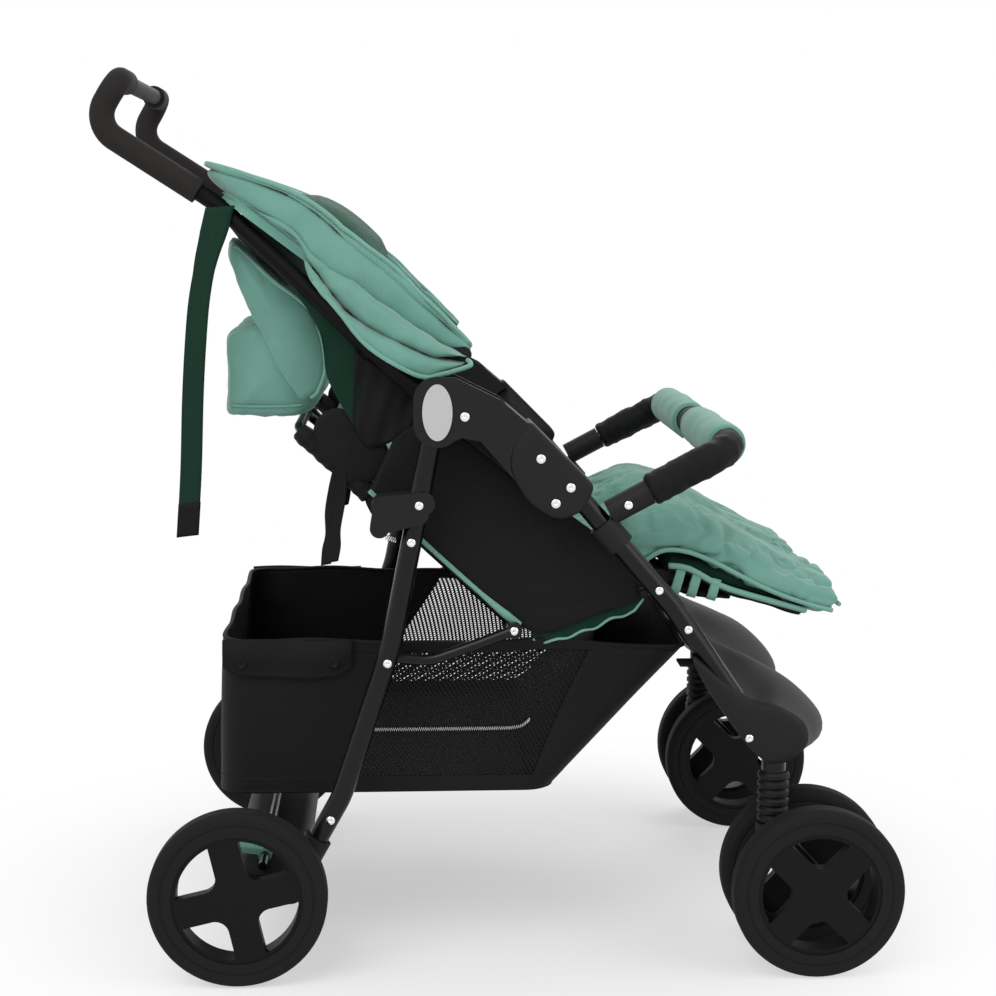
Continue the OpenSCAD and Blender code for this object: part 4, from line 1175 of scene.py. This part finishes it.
    def fixing_loops(self, side, y):
        """Green tapes that run down from the cover and turn in under the board"""
        sign = RIGHT if y < 0 else LEFT
        for k, (x, drop) in enumerate(((30, 15), (50, 14), (74, 11))):
            path = smooth_path([(2, 15), (-1, 4), (0, -drop * 0.6), (7, -drop), (16, -drop * 0.8), (24, 2),
                                (27, 5)], 36)
            verts = []
            for d, z in path:
                for w in np.linspace(-5.5, 5.5, 6):
                    q = on_legrest(x + w + 0.12 * d, z + 7)
                    verts.append((q[0], y - sign * (d - 1.5), q[1]))
            obj = add_piece("legrest_loop_%d_%s" % (k, side), verts, grid_faces(36, 6), "green")
            hang_sheet(obj, 1.8, "leg_rest_" + side)

    def brackets(self, side, y0, y1):
        """Rounded hinge ears that carry the board on the front seat tube"""
        corners = [on_legrest(*p) for p in ((-13, -9), (-11, 11), (30, 17), (34, 6), (8, -13))]
        outline = rounded_outline(corners, (9, 9, 5, 5, 10), 40)
        for k, y in enumerate((y0 * 0.9 + y1 * 0.1, y0 * 0.1 + y1 * 0.9)):
            rings = [side_ring(outline, share, y + across) for share, across in self.ear_shape]
            add_piece("legrest_ear_%d_%s" % (k, side), *swept(rings), "plastic", "leg_rest_" + side)


class PRAM_OT_sew_side_panels(bpy.types.Operator):
    """Sews the padded black side panels with their green piped edge and deep green skirt"""

    bl_idname = "pram.sew_side_panels"
    bl_label = "Sew side panels"

    # Places across of the panel's outer and inner face, its piping and its skirt
    face_y, lining_y, piping_y, skirt_y = 263.6, 262.1, 264.6, 258.5

    def execute(self, context):
        cols, rows = 52, 26
        top = smooth_path([(-121, 620), (-86, 640), (-41, 623), (19, 576), (78, 536), (157, 478)], cols)
        low = smooth_path([(-149, 561), (-60, 476), (26, 401), (60, 392), (110, 410), (169, 431)], cols)
        for sign, side in SIDES:
            outer, inner = [], []
            for _, j, v, u in grid_places(rows, cols):
                p = top[j] * (1 - v) + low[j] * v
                puff = (math.sin(math.pi * v) * math.sin(math.pi * u)) ** 0.5
                groove = 1.3 * math.exp(-((v - 0.8) / 0.03) ** 2) * min(1.0, max(0.0, (u - 0.4) * 6))
                slack = 0.6 * math.sin(7 * u + 5 * v) * puff
                outer.append((p[0], sign * (self.face_y + 3.2 * puff - groove + 0.6 * slack), p[1]))
                inner.append((p[0], sign * self.lining_y, p[1]))
            obj = add_piece("side_cloth_" + side, *slab(outer, inner, rows, cols, sign), "black", "frame")
            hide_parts("side_panel_" + side)
            edge = [(p[0], sign * self.piping_y, p[1]) for p in low[: int(cols * 0.62)]]
            radii = np.interp(np.linspace(0, 1, 80), [0, 0.75, 0.92, 1], [2.8, 2.8, 5.0, 4.2])
            add_tube("side_piping_" + side, smooth_path(edge, 80), radii, "piping", "frame", 10)
            self.skirt(sign, side)
        return {"FINISHED"}

    def skirt(self, sign, side):
        """Deep green cloth that shows in waves below the panel, hemmed in green"""
        rows, cols = 9, 60
        line = smooth_path([(40, 396), (64, 392), (110, 408), (150, 424), (170, 431)], cols)
        verts = []
        for _, j, v, _ in grid_places(rows, cols):
            x, z = line[j]
            wave = math.sin(j * 0.42) + 0.5 * math.sin(j * 0.23 + 1)
            drop = (15 + 2.0 * wave) * v * min(1.0, (cols - 1 - j) / 6 + 0.25)
            verts.append((x + 1.5 * v, sign * (self.skirt_y - 2.0 * v * wave), z + 3 - drop))
        obj = add_piece("seat_skirt_" + side, verts, grid_faces(rows, cols), "deep_green")
        hang_sheet(obj, 1.6, "frame")
        add_piping("seat_skirt_hem_" + side, verts[-cols:], 1.7, "frame")


class PRAM_OT_pad_bumper(bpy.types.Operator):
    """Wraps the bumper bar in its black arms and green sleeves"""

    bl_idname = "pram.pad_bumper"
    bl_label = "Pad bumper"

    # Socket end of the arms, their direction in side view, their length and the radius of the bar's corners
    root, along = np.array([132.0, 541.3]), np.array([0.884, 0.468])
    reach, turn = 152.0, 34.0
    arm_y = 300.0
    # Places across of the green sleeve's ends
    sleeve_in, sleeve_out = 33.6, 264.4

    def execute(self, context):
        bar = self.root + self.along * self.reach
        for sign, side in SIDES:
            arm = self.arm(sign, side)
            sleeve = self.sleeve(sign, side, bar)
            if sign == RIGHT:
                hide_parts("bumper_pads")
                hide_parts("bumper_sleeves")
            seam = [(bar[0] - 9, sign * y, bar[1] - 22.6) for y in np.linspace(258, 40, 50)]
            add_piping("bumper_seam_" + side, seam, 1.7, "bumper")
        line = [(bar[0], y, bar[1]) for y in np.linspace(-48, 48, 24)]
        radii = [18.5 + 0.5 * math.sin(k) for k in range(24)]
        core = add_tube("bumper_core_cloth", line, radii, "black", "bumper", 24)
        return {"FINISHED"}

    def arm(self, sign, side):
        """Black padded arm from the socket round the corner to the sleeve"""
        path = [(self.root + self.along * s, self.arm_y) for s in (47, 60, 80, 100, 117)]
        for a in np.linspace(15, 90, 6):
            r = math.radians(a)
            path.append((self.root + self.along * (self.reach - self.turn + self.turn * math.sin(r)),
                         self.arm_y - self.turn + self.turn * math.cos(r)))
        path.append((self.root + self.along * self.reach, 256.0))
        path = smooth_path([(p[0], sign * y, p[1]) for p, y in path], 80)
        t = np.linspace(0, 1, 80)
        gathers = 0.35 * np.sin(t * 60) * np.exp(-t * 9)
        radii = 19.3 + gathers + 0.5 * np.sin(t * 44) * np.exp(-((t - 0.7) / 0.18) ** 2)
        radii[:3], radii[-3:] = (16.5, 18.2, 19.0), (18.6, 17.8, 16.5)
        obj = add_tube("bumper_arm_cloth_" + side, path, radii, "black", "bumper", 30)
        ripple(obj, 0.0022, 0.045, 3 + sign)
        ripple(obj, 0.0012, 0.016, 8 + sign, (1.4, 1, 1.4))
        return obj

    def sleeve(self, sign, side, bar):
        """Green sleeve wrapped round half of the bar, with a turned hem at both ends"""
        ys = np.concatenate([np.linspace(self.sleeve_out, 258, 8), np.linspace(254, 44, 60),
                             np.linspace(40, self.sleeve_in, 8)])
        ends = np.minimum(ys - self.sleeve_in, self.sleeve_out - ys)
        hem_line = 0.8 * np.exp(-((ends - 11) / 2.0) ** 2)
        radii = 22.2 + 2.1 * np.sqrt(np.clip(ends / 5, 0, 1)) + 0.35 * np.sin(ys * 0.09) - hem_line
        line = [(bar[0], sign * y, bar[1]) for y in ys]
        obj = add_tube("bumper_sleeve_cloth_" + side, line, radii, "green", "bumper", 40)
        ripple(obj, 0.0016, 0.05, 9 + sign)
        return obj


class PRAM_OT_sew_basket(bpy.types.Operator):
    """Sews the basket: netting, lined foot and ends, hems, stitch line, rear flaps, studs and tabs"""

    bl_idname = "pram.sew_basket"
    bl_label = "Sew basket"

    floor_z, rim_z, front_rim_z = 200.0, 383.0, 369.0
    # Radius and lift of a press stud, from its foot over the rim into its dimple
    stud = ((6.4, -1.0), (6.4, 1.2), (5.4, 2.2), (3.8, 2.4), (3.2, 1.7), (1.0, 1.6))

    def execute(self, context):
        basket = context.scene.pram_basket
        self.half, self.corner = basket.half_width / MM, basket.corner / MM
        rows = 30
        loops = [self.loop(i / (rows - 1)) for i in range(rows)]
        count = len(loops[0])
        girth = lengths(np.array(loops[-1]))
        uvs = [(girth[j] * MM, loops[i][j][2] * MM) for i in range(rows) for j in range(count)]
        verts = [p for loop in loops for p in loop]
        net = add_piece("basket_net", verts, grid_faces(rows, count, ring=True), "net", None, uvs)
        self.hang(net, 1.2, 0.45, -1.0)
        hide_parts("basket")
        self.band("basket_hem", 0.93, 1.0, 1.4, lambda x: True)
        self.band("basket_foot", 0.0, 0.1, 1.3, lambda x: True)
        self.band("basket_rear_lining", 0.0, 0.97, 0.9, lambda x: x < -172)
        self.band("basket_front_lining", 0.0, 0.97, 0.9, lambda x: x > 34)
        self.floor()
        self.rims()
        for sign, side in SIDES:
            self.rear_flap(sign, side)
            self.stitching(sign, side)
            self.tabs(sign, side)
        return {"FINISHED"}

    def hang(self, obj, thick, width, offset=0.0):
        hang_sheet(obj, thick, "frame", offset)

    def outward(self, x, y, out):
        """A point of the wall moved outward, away from the middle of the basket"""
        n = math.hypot(x + 60, y * 1.3) or 1
        return x + out[0] * (x + 60) / n, y + out[1] * y * 1.3 / n

    def loop(self, v):
        """The basket's outline in plan at a height from floor, 0, to rim, 1"""
        z = self.floor_z + (self.rim_z - self.floor_z) * v
        sag = math.sin(math.pi * v)
        front_v = min(1.0, (z - self.floor_z) / (self.front_rim_z - self.floor_z))
        rear, front = -328 + 6 * v - 2 * sag + self.corner, 64 + 160 * front_v - self.corner
        wide = self.half - 4 * sag - self.corner
        pts = []
        for cx, cy, a0 in ((front, wide, 0), (rear, wide, 90), (rear, -wide, 180), (front, -wide, 270)):
            for a in np.linspace(a0, a0 + 90, 9):
                r = math.radians(a)
                pts.append((cx + self.corner * math.cos(r), cy + self.corner * math.sin(r)))
        pts = np.array(pts + pts[:1])
        out = []
        places = np.linspace(0, lengths(pts)[-1], 300, endpoint=False)
        for at, (x, y) in zip(places, spread(pts, 300, True)):
            share = min(1.0, max(0.0, (x - 60) / 150))
            low = min(z, self.front_rim_z)
            wave = 1.6 * math.sin(at * 0.045) * v ** 2 + 1.2 * math.sin(at * 0.019 + 1) * sag
            dip = -5 * v ** 4 * math.exp(-((x + 60) / 90) ** 2)
            height = z * (1 - share) + low * share + dip + 0.8 * wave * v ** 2
            out.append((*self.outward(x, y, (wave * 0.5, wave * 0.6)), height))
        return out

    def band(self, name, v0, v1, out, keep):
        """A strip of black cloth on the outside of the net, where keep(x) says so"""
        rows = 14
        grid = [[(*self.outward(x, y, (out, out)), z) for x, y, z in self.loop(v)]
                for v in np.linspace(v0, v1, rows)]
        count = len(grid[0])
        used = [j for j in range(count) if keep(grid[0][j][0])]
        whole = len(used) == count
        verts = [ring[j] for ring in grid for j in used]
        obj = add_piece(name, verts, grid_faces(rows, len(used), ring=whole), "black")
        self.hang(obj, 1.6, 0.3)

    def rims(self):
        """Rounded bindings along the rim and the foot"""
        for name, v, r in (("basket_rim_binding", 1.0, 2.6), ("basket_foot_binding", 0.01, 2.4)):
            rings = tube_rings(self.loop(v), r, 8, closed=True)
            faces = grid_faces(len(rings), 8, ring=True, loop=True)
            add_piece(name, rings.reshape(-1, 3), faces, "black", "frame")

    def floor(self):
        loop = np.array(self.loop(0.0))
        centre = loop.mean(axis=0)
        verts = []
        shares = np.linspace(0, 0.999, 14)
        for k in shares:
            for p in loop * (1 - k) + centre * k:
                verts.append((p[0], p[1], p[2] + 1.5 - 1.2 * math.sin(math.pi * k / 2)))
        obj = add_piece("basket_floor", verts, grid_faces(len(shares), len(loop), ring=True), "black")
        self.hang(obj, 2.0, 0.5)

    def rear_flap(self, sign, side):
        """Turned-down flap at the rear end of a long wall, with two press studs"""
        rows, cols = 14, 32
        verts = []
        for _, _, v, u in grid_places(rows, cols):
            drop = 46 * v * (1 - 0.3 * abs(2 * u - 1) ** 5)
            bulge = 3.5 * math.sin(math.pi * min(1.0, v * 1.2)) + 1.2 * math.sin(9 * u + 2 * v)
            z = 385 - drop + 1.2 * math.sin(6 * u)
            verts.append((-322 + 152 * u, sign * (self.half + 3.0 + bulge), z))
        obj = add_piece("basket_flap_" + side, verts, grid_faces(rows, cols), "black")
        self.hang(obj, 2.6, 0.15)
        for k, x in enumerate((-300, -192)):
            rings = boss_rings((x, sign * (self.half + 6.4), 357), sign, self.stud)
            add_piece("basket_stud_%d_%s" % (k, side), *swept(rings, sign < 0), "hub", "frame")

    def stitching(self, sign, side):
        """Pale zigzag thread along the top of the lined foot"""
        run = smooth_path([(-150, 284), (-60, 284), (0, 284), (26, 286), (38, 294)], 150)
        points = [(p[0], sign * (self.half - 1.0), p[1] - 9 + (1.8 if k % 2 else -1.8))
                  for k, p in enumerate(run)]
        add_tube("basket_stitching_" + side, points, 0.8, "thread", "frame", 6)

    def tabs(self, sign, side):
        """Webbing tabs that hang the basket on the front legs and the link bars"""
        for k, (x, z, reach) in enumerate(((222, 356, 287.5), (-110, 363, 273.5))):
            verts = []
            for u in np.linspace(0, 1, 16):
                y = self.half - 1 + (reach - self.half + 1) * u
                sag = math.sin(math.pi * u)
                for w in np.linspace(-10, 10, 6):
                    verts.append((x + w * (1 - 0.2 * sag), sign * y, z - 3 * sag))
            obj = add_piece("basket_tab_%d_%s" % (k, side), verts, grid_faces(16, 6), "black")
            self.hang(obj, 3.0, 0.02)


class PRAM_OT_hang_straps(bpy.types.Operator):
    """Hangs the hand strap on the right push tube and the recline straps behind the seats"""

    bl_idname = "pram.hang_straps"
    bl_label = "Hang straps"

    hand_line = ((-318, 887), (-326, 855), (-335, 824), (-343.6, 780), (-349, 728), (-353.4, 664),
                 (-357, 582), (-362.4, 506))
    hand_y = -233.2
    # Side-view line, half width and place across of each recline strap
    tails = (
        (((-184, 590), (-190, 565), (-195, 535), (-195, 508), (-199, 490), (-201, 470)), 6.5, 238),
        (((-182, 590), (-181, 565), (-184, 540), (-189, 512), (-189, 492), (-192, 474)), 6.0, 243),
        (((-172, 588), (-160, 574), (-153, 560), (-148, 544), (-144, 532)), 5.2, 240),
    )

    def execute(self, context):
        line = smooth_path(self.hand_line, 70)
        width = np.interp(np.arange(70), (0, 5, 14, 69), (16.5, 16.5, 12.5, 12.5))
        strap = self.webbing("hand_strap_webbing", line, width, self.hand_y, 1.2, "webbing", 2.4)
        self.hang(strap, "push_frame", 0.027, "handle_tube")
        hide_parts("hand_strap")
        end_line = line[62:] + np.array([0.0, -1.5])
        end = self.webbing("hand_strap_end", end_line, np.full(8, 12.9), self.hand_y, 1.2, "black", 4.6)
        self.hang(end, "push_frame", 0.026, "hand_strap_webbing")
        for sign, side in SIDES:
            self.recline_straps(sign, side)
        return {"FINISHED"}

    def webbing(self, name, line, width, y, twist, key, thick):
        """A strap with its face to the side, along a side-view line; keeps the area of one face"""
        cols = 7
        verts = []
        for (x, z), w in zip(line, width):
            for v in np.linspace(-1, 1, cols):
                turn = twist * math.sin(z * 0.013) + 0.6 * twist * v * math.sin(z * 0.016)
                verts.append((x + w * v, y + turn, z + 1.4 * v))
        obj = add_piece(name, verts, grid_faces(len(line), cols), key)
        self.area = flat_area(obj)
        return thicken(obj, thick)

    def hang(self, obj, body, width, rests_on):
        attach(obj, body)
        declare_sheet(obj, self.area)

    def recline_straps(self, sign, side):
        """Slack tails of black webbing that hang from the top of each backrest"""
        for k, (line, w, y) in enumerate(self.tails):
            line = smooth_path(line, 50)
            width = w * np.interp(np.arange(50), (0, 8, 40, 49), (1, 1, 0.95, 0.6 if k == 2 else 0.9))
            name = "recline_strap_%d_%s" % (k, side)
            obj = self.webbing(name, line, width, sign * y, sign * 4.0, "black", 1.6)
            self.hang(obj, "back_" + side, 2 * w * MM, "back_tube_" + side)


class PRAM_OT_mould_step(bpy.types.Operator):
    """Moulds the smooth foot step with its two domed pads, wrapped round both front legs"""

    bl_idname = "pram.mould_step"
    bl_label = "Mould step"

    # Distances from the middle, and the side view at each: top from the leg to the toe, and back below
    places = (0, 75, 150, 225, 290, 317)
    marks = (
        ((236, 364), (268, 336), (296, 312), (318, 294), (336, 276), (334, 262), (312, 262), (276, 304)),
        ((234, 376), (276, 346), (316, 322), (352, 298), (386, 268), (382, 244), (340, 244), (278, 302)),
        ((234, 380), (282, 354), (330, 334), (376, 304), (408, 264), (402, 238), (346, 236), (276, 302)),
        ((232, 378), (272, 350), (316, 330), (358, 312), (393, 278), (388, 246), (340, 240), (276, 300)),
        ((222, 374), (258, 348), (294, 322), (330, 312), (364, 290), (362, 258), (316, 243), (254, 310)),
        ((222, 368), (256, 342), (288, 318), (320, 310), (347, 290), (348, 262), (308, 246), (256, 310)),
    )
    # Length of the rounded ends
    round_end = 6

    def execute(self, context):
        ends = self.places[-1]
        full = ends - self.round_end
        across = np.concatenate([np.linspace(-ends, -full, 6)[:-1], np.linspace(-full, full, 121),
                                 np.linspace(full, ends, 6)[1:]])
        marks = np.array(self.marks, float).reshape(len(self.places), -1)
        shapes = np.array([[np.interp(abs(y), self.places, column) for column in marks.T] for y in across])
        # Three running means take the kinks out between the places
        for _ in range(3):
            padded = np.pad(shapes, ((5, 5), (0, 0)), "edge")
            shapes = np.mean([padded[k:k + len(across)] for k in range(11)], axis=0)
        rings = []
        for y, shape in zip(across, shapes):
            round_off = 0.9 + 0.1 * rounded_end((ends - abs(y)) / self.round_end)
            rings.append(side_ring(smooth_path(shape.reshape(-1, 2), 64, closed=True), round_off, y))
        obj = add_piece("step_moulding", *swept(rings), "plastic", "frame")
        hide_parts("front_step")
        return {"FINISHED"}


class PRAM_OT_mould_knuckles(bpy.types.Operator):
    """Moulds the smooth knuckles that take the front legs at the end of the hinge covers"""

    bl_idname = "pram.mould_knuckles"
    bl_label = "Mould knuckles"

    corners = ((34, 647), (108, 572), (95, 542), (66, 532), (34, 550), (10, 588), (11, 618))
    rounding = (4, 7, 22, 24, 30, 30, 26)
    # Share of the outline and depth below the face, from the face over its soft edge
    edge = ((0.4, 0.0), (0.82, 0.1), (0.91, 0.6), (0.96, 1.8), (0.988, 4.0), (1.0, 7.5))
    # How far the face stands out from the CAD knuckle's
    proud = 0.9

    def execute(self, context):
        outline = rounded_outline(self.corners, self.rounding, 96)
        for sign, side in SIDES:
            low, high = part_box("leg_knuckle_" + side)
            inside, face = sorted((low[1] / MM, high[1] / MM), key=abs)
            face += sign * self.proud
            depths = [(share, face - sign * depth) for share, depth in self.edge] + [(1.0, inside)]
            rings = [side_ring(outline, share, y) for share, y in depths]
            obj = add_piece("knuckle_moulding_" + side, *swept(rings, sign > 0), "plastic", "frame")
            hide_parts("leg_knuckle_" + side)
        return {"FINISHED"}


class PRAM_OT_build_stage(bpy.types.Operator):
    """Sets the floor, the light and the camera"""

    bl_idname = "pram.build_stage"
    bl_label = "Build stage"

    floor_half, floor_z = 14, -0.001
    # Name, place, size and watts
    lamps = (
        ("key_softbox", (-1.6, -2.6, 3.2), 2.6, 70.0),
        ("fill_softbox", (2.6, -1.8, 2.0), 2.2, 28.0),
        ("rim_softbox", (0.6, 2.8, 2.8), 2.4, 40.0),
    )
    lamp_aim = (0, 0, 0.5)

    def execute(self, context):
        stage = context.scene.pram_stage
        scene = context.scene
        scene.view_settings.view_transform = "Standard"
        mesh = bpy.data.meshes.new("studio_floor")
        corners = ((-1, -1), (1, -1), (1, 1), (-1, 1))
        verts = [(x * self.floor_half, y * self.floor_half, self.floor_z) for x, y in corners]
        mesh.from_pydata(verts, [], [(0, 1, 2, 3)])
        mesh.materials.append(self.floor_paint(stage.floor))
        self.place("studio_floor", mesh)
        self.sky()
        for name, place, size, watts in self.lamps:
            lamp = bpy.data.lights.new(name, "AREA")
            lamp.size = size
            lamp.energy = watts
            self.place(name, lamp, place, Vector(self.lamp_aim) - Vector(place))
        lens = bpy.data.cameras.new("studio_camera")
        lens.sensor_width = 36.0
        lens.lens = stage.lens
        lens.clip_end = 60.0
        scene.camera = self.place("studio_camera", lens, stage.eye, Vector(stage.look))
        return {"FINISHED"}

    def place(self, name, data, spot=(0, 0, 0), look=None):
        """Puts a thing in the scene, turned to look along a direction where one is given"""
        obj = bpy.data.objects.new(name, data)
        obj.location = spot
        if look:
            obj.rotation_euler = look.to_track_quat("-Z", "Y").to_euler()
        bpy.context.scene.collection.objects.link(obj)
        return obj

    def floor_paint(self, color):
        """Pale floor that takes the pram's shadow and fades to plain white away from it"""
        mat, tree, skin = start_material("studio_floor_paint")
        coords = add_node(tree, "ShaderNodeTexCoord").outputs["Object"]
        blotch_colour(tree, skin, coords, color, 0.6, 0.985, 1.0)
        skin.inputs["Roughness"].default_value = 0.9
        skin.inputs["Specular IOR Level"].default_value = 0.1
        away = add_node(tree, "ShaderNodeVectorMath", {0: coords}, operation="LENGTH")
        fade = add_node(tree, "ShaderNodeMapRange", {"Value": away.outputs["Value"]},
                        {"From Min": 0.3, "From Max": 0.85, "To Min": 0.45}, interpolation_type="SMOOTHSTEP")
        share = combine(tree, "MULTIPLY", fade.outputs["Result"], self.seen_rays(tree))
        white = add_node(tree, "ShaderNodeEmission", values={"Color": (1, 1, 1, 1), "Strength": 1.0})
        mix = add_node(tree, "ShaderNodeMixShader", {0: share, 1: skin.outputs[0], 2: white.outputs[0]})
        out = next(n for n in tree.nodes if n.type == "OUTPUT_MATERIAL")
        tree.links.new(mix.outputs[0], out.inputs["Surface"])
        return mat

    def seen_rays(self, tree):
        """1 for rays that show the background: straight from the camera, or by a mirror or glass"""
        rays = add_node(tree, "ShaderNodeLightPath").outputs
        near = combine(tree, "MAXIMUM", rays["Is Camera Ray"], rays["Is Glossy Ray"])
        return combine(tree, "MAXIMUM", near, rays["Is Transmission Ray"])

    def sky(self):
        """Soft white light all round, seen as plain white"""
        world = bpy.data.worlds.new("studio_sky")
        bpy.context.scene.world = world
        world.use_nodes = True
        tree = world.node_tree
        tree.nodes.clear()
        soft, white = (add_node(tree, "ShaderNodeBackground", values={"Color": (1, 1, 1, 1), "Strength": s})
                       for s in (0.62, 1.0))
        links = {0: self.seen_rays(tree), 1: soft.outputs[0], 2: white.outputs[0]}
        mix = add_node(tree, "ShaderNodeMixShader", links)
        add_node(tree, "ShaderNodeOutputWorld", {"Surface": mix.outputs[0]})


STEPS = (
    PRAM_OT_build_stage,
    PRAM_OT_coat_frame,
    PRAM_OT_sew_hood,
    PRAM_OT_sew_curtain,
    PRAM_OT_sew_seats,
    PRAM_OT_sew_side_panels,
    PRAM_OT_pad_bumper,
    PRAM_OT_sew_basket,
    PRAM_OT_hang_straps,
    PRAM_OT_mould_step,
    PRAM_OT_mould_knuckles,
    PRAM_OT_fit_screws,
)


class PRAM_PT_dresser(bpy.types.Panel):
    """Lists the steps that dress the pram"""

    bl_idname = "PRAM_PT_dresser"
    bl_label = "Twin Pram"
    bl_space_type = "VIEW_3D"
    bl_region_type = "UI"
    bl_category = "Pram"

    def draw(self, context):
        for step in STEPS:
            self.layout.operator(step.bl_idname)


SETTINGS = {
    "pram_cloth": PramClothSettings,
    "pram_hood": PramHoodSettings,
    "pram_seat": PramSeatSettings,
    "pram_basket": PramBasketSettings,
    "pram_stage": PramStageSettings,
}


def register():
    for kind in (*SETTINGS.values(), *STEPS, PRAM_PT_dresser):
        bpy.utils.register_class(kind)
    for name, kind in SETTINGS.items():
        setattr(bpy.types.Scene, name, PointerProperty(type=kind))


def unregister():
    for name in SETTINGS:
        delattr(bpy.types.Scene, name)
    for kind in reversed((*SETTINGS.values(), *STEPS, PRAM_PT_dresser)):
        bpy.utils.unregister_class(kind)


def main():
    register()
    bpy.ops.pram.build_stage()
    bpy.ops.pram.coat_frame()
    bpy.ops.pram.sew_hood()
    bpy.ops.pram.sew_curtain()
    bpy.ops.pram.sew_seats()
    bpy.ops.pram.sew_side_panels()
    bpy.ops.pram.pad_bumper()
    bpy.ops.pram.sew_basket()
    bpy.ops.pram.hang_straps()
    bpy.ops.pram.mould_step()
    bpy.ops.pram.mould_knuckles()
    bpy.ops.pram.fit_screws()


if __name__ == "__main__":
    main()
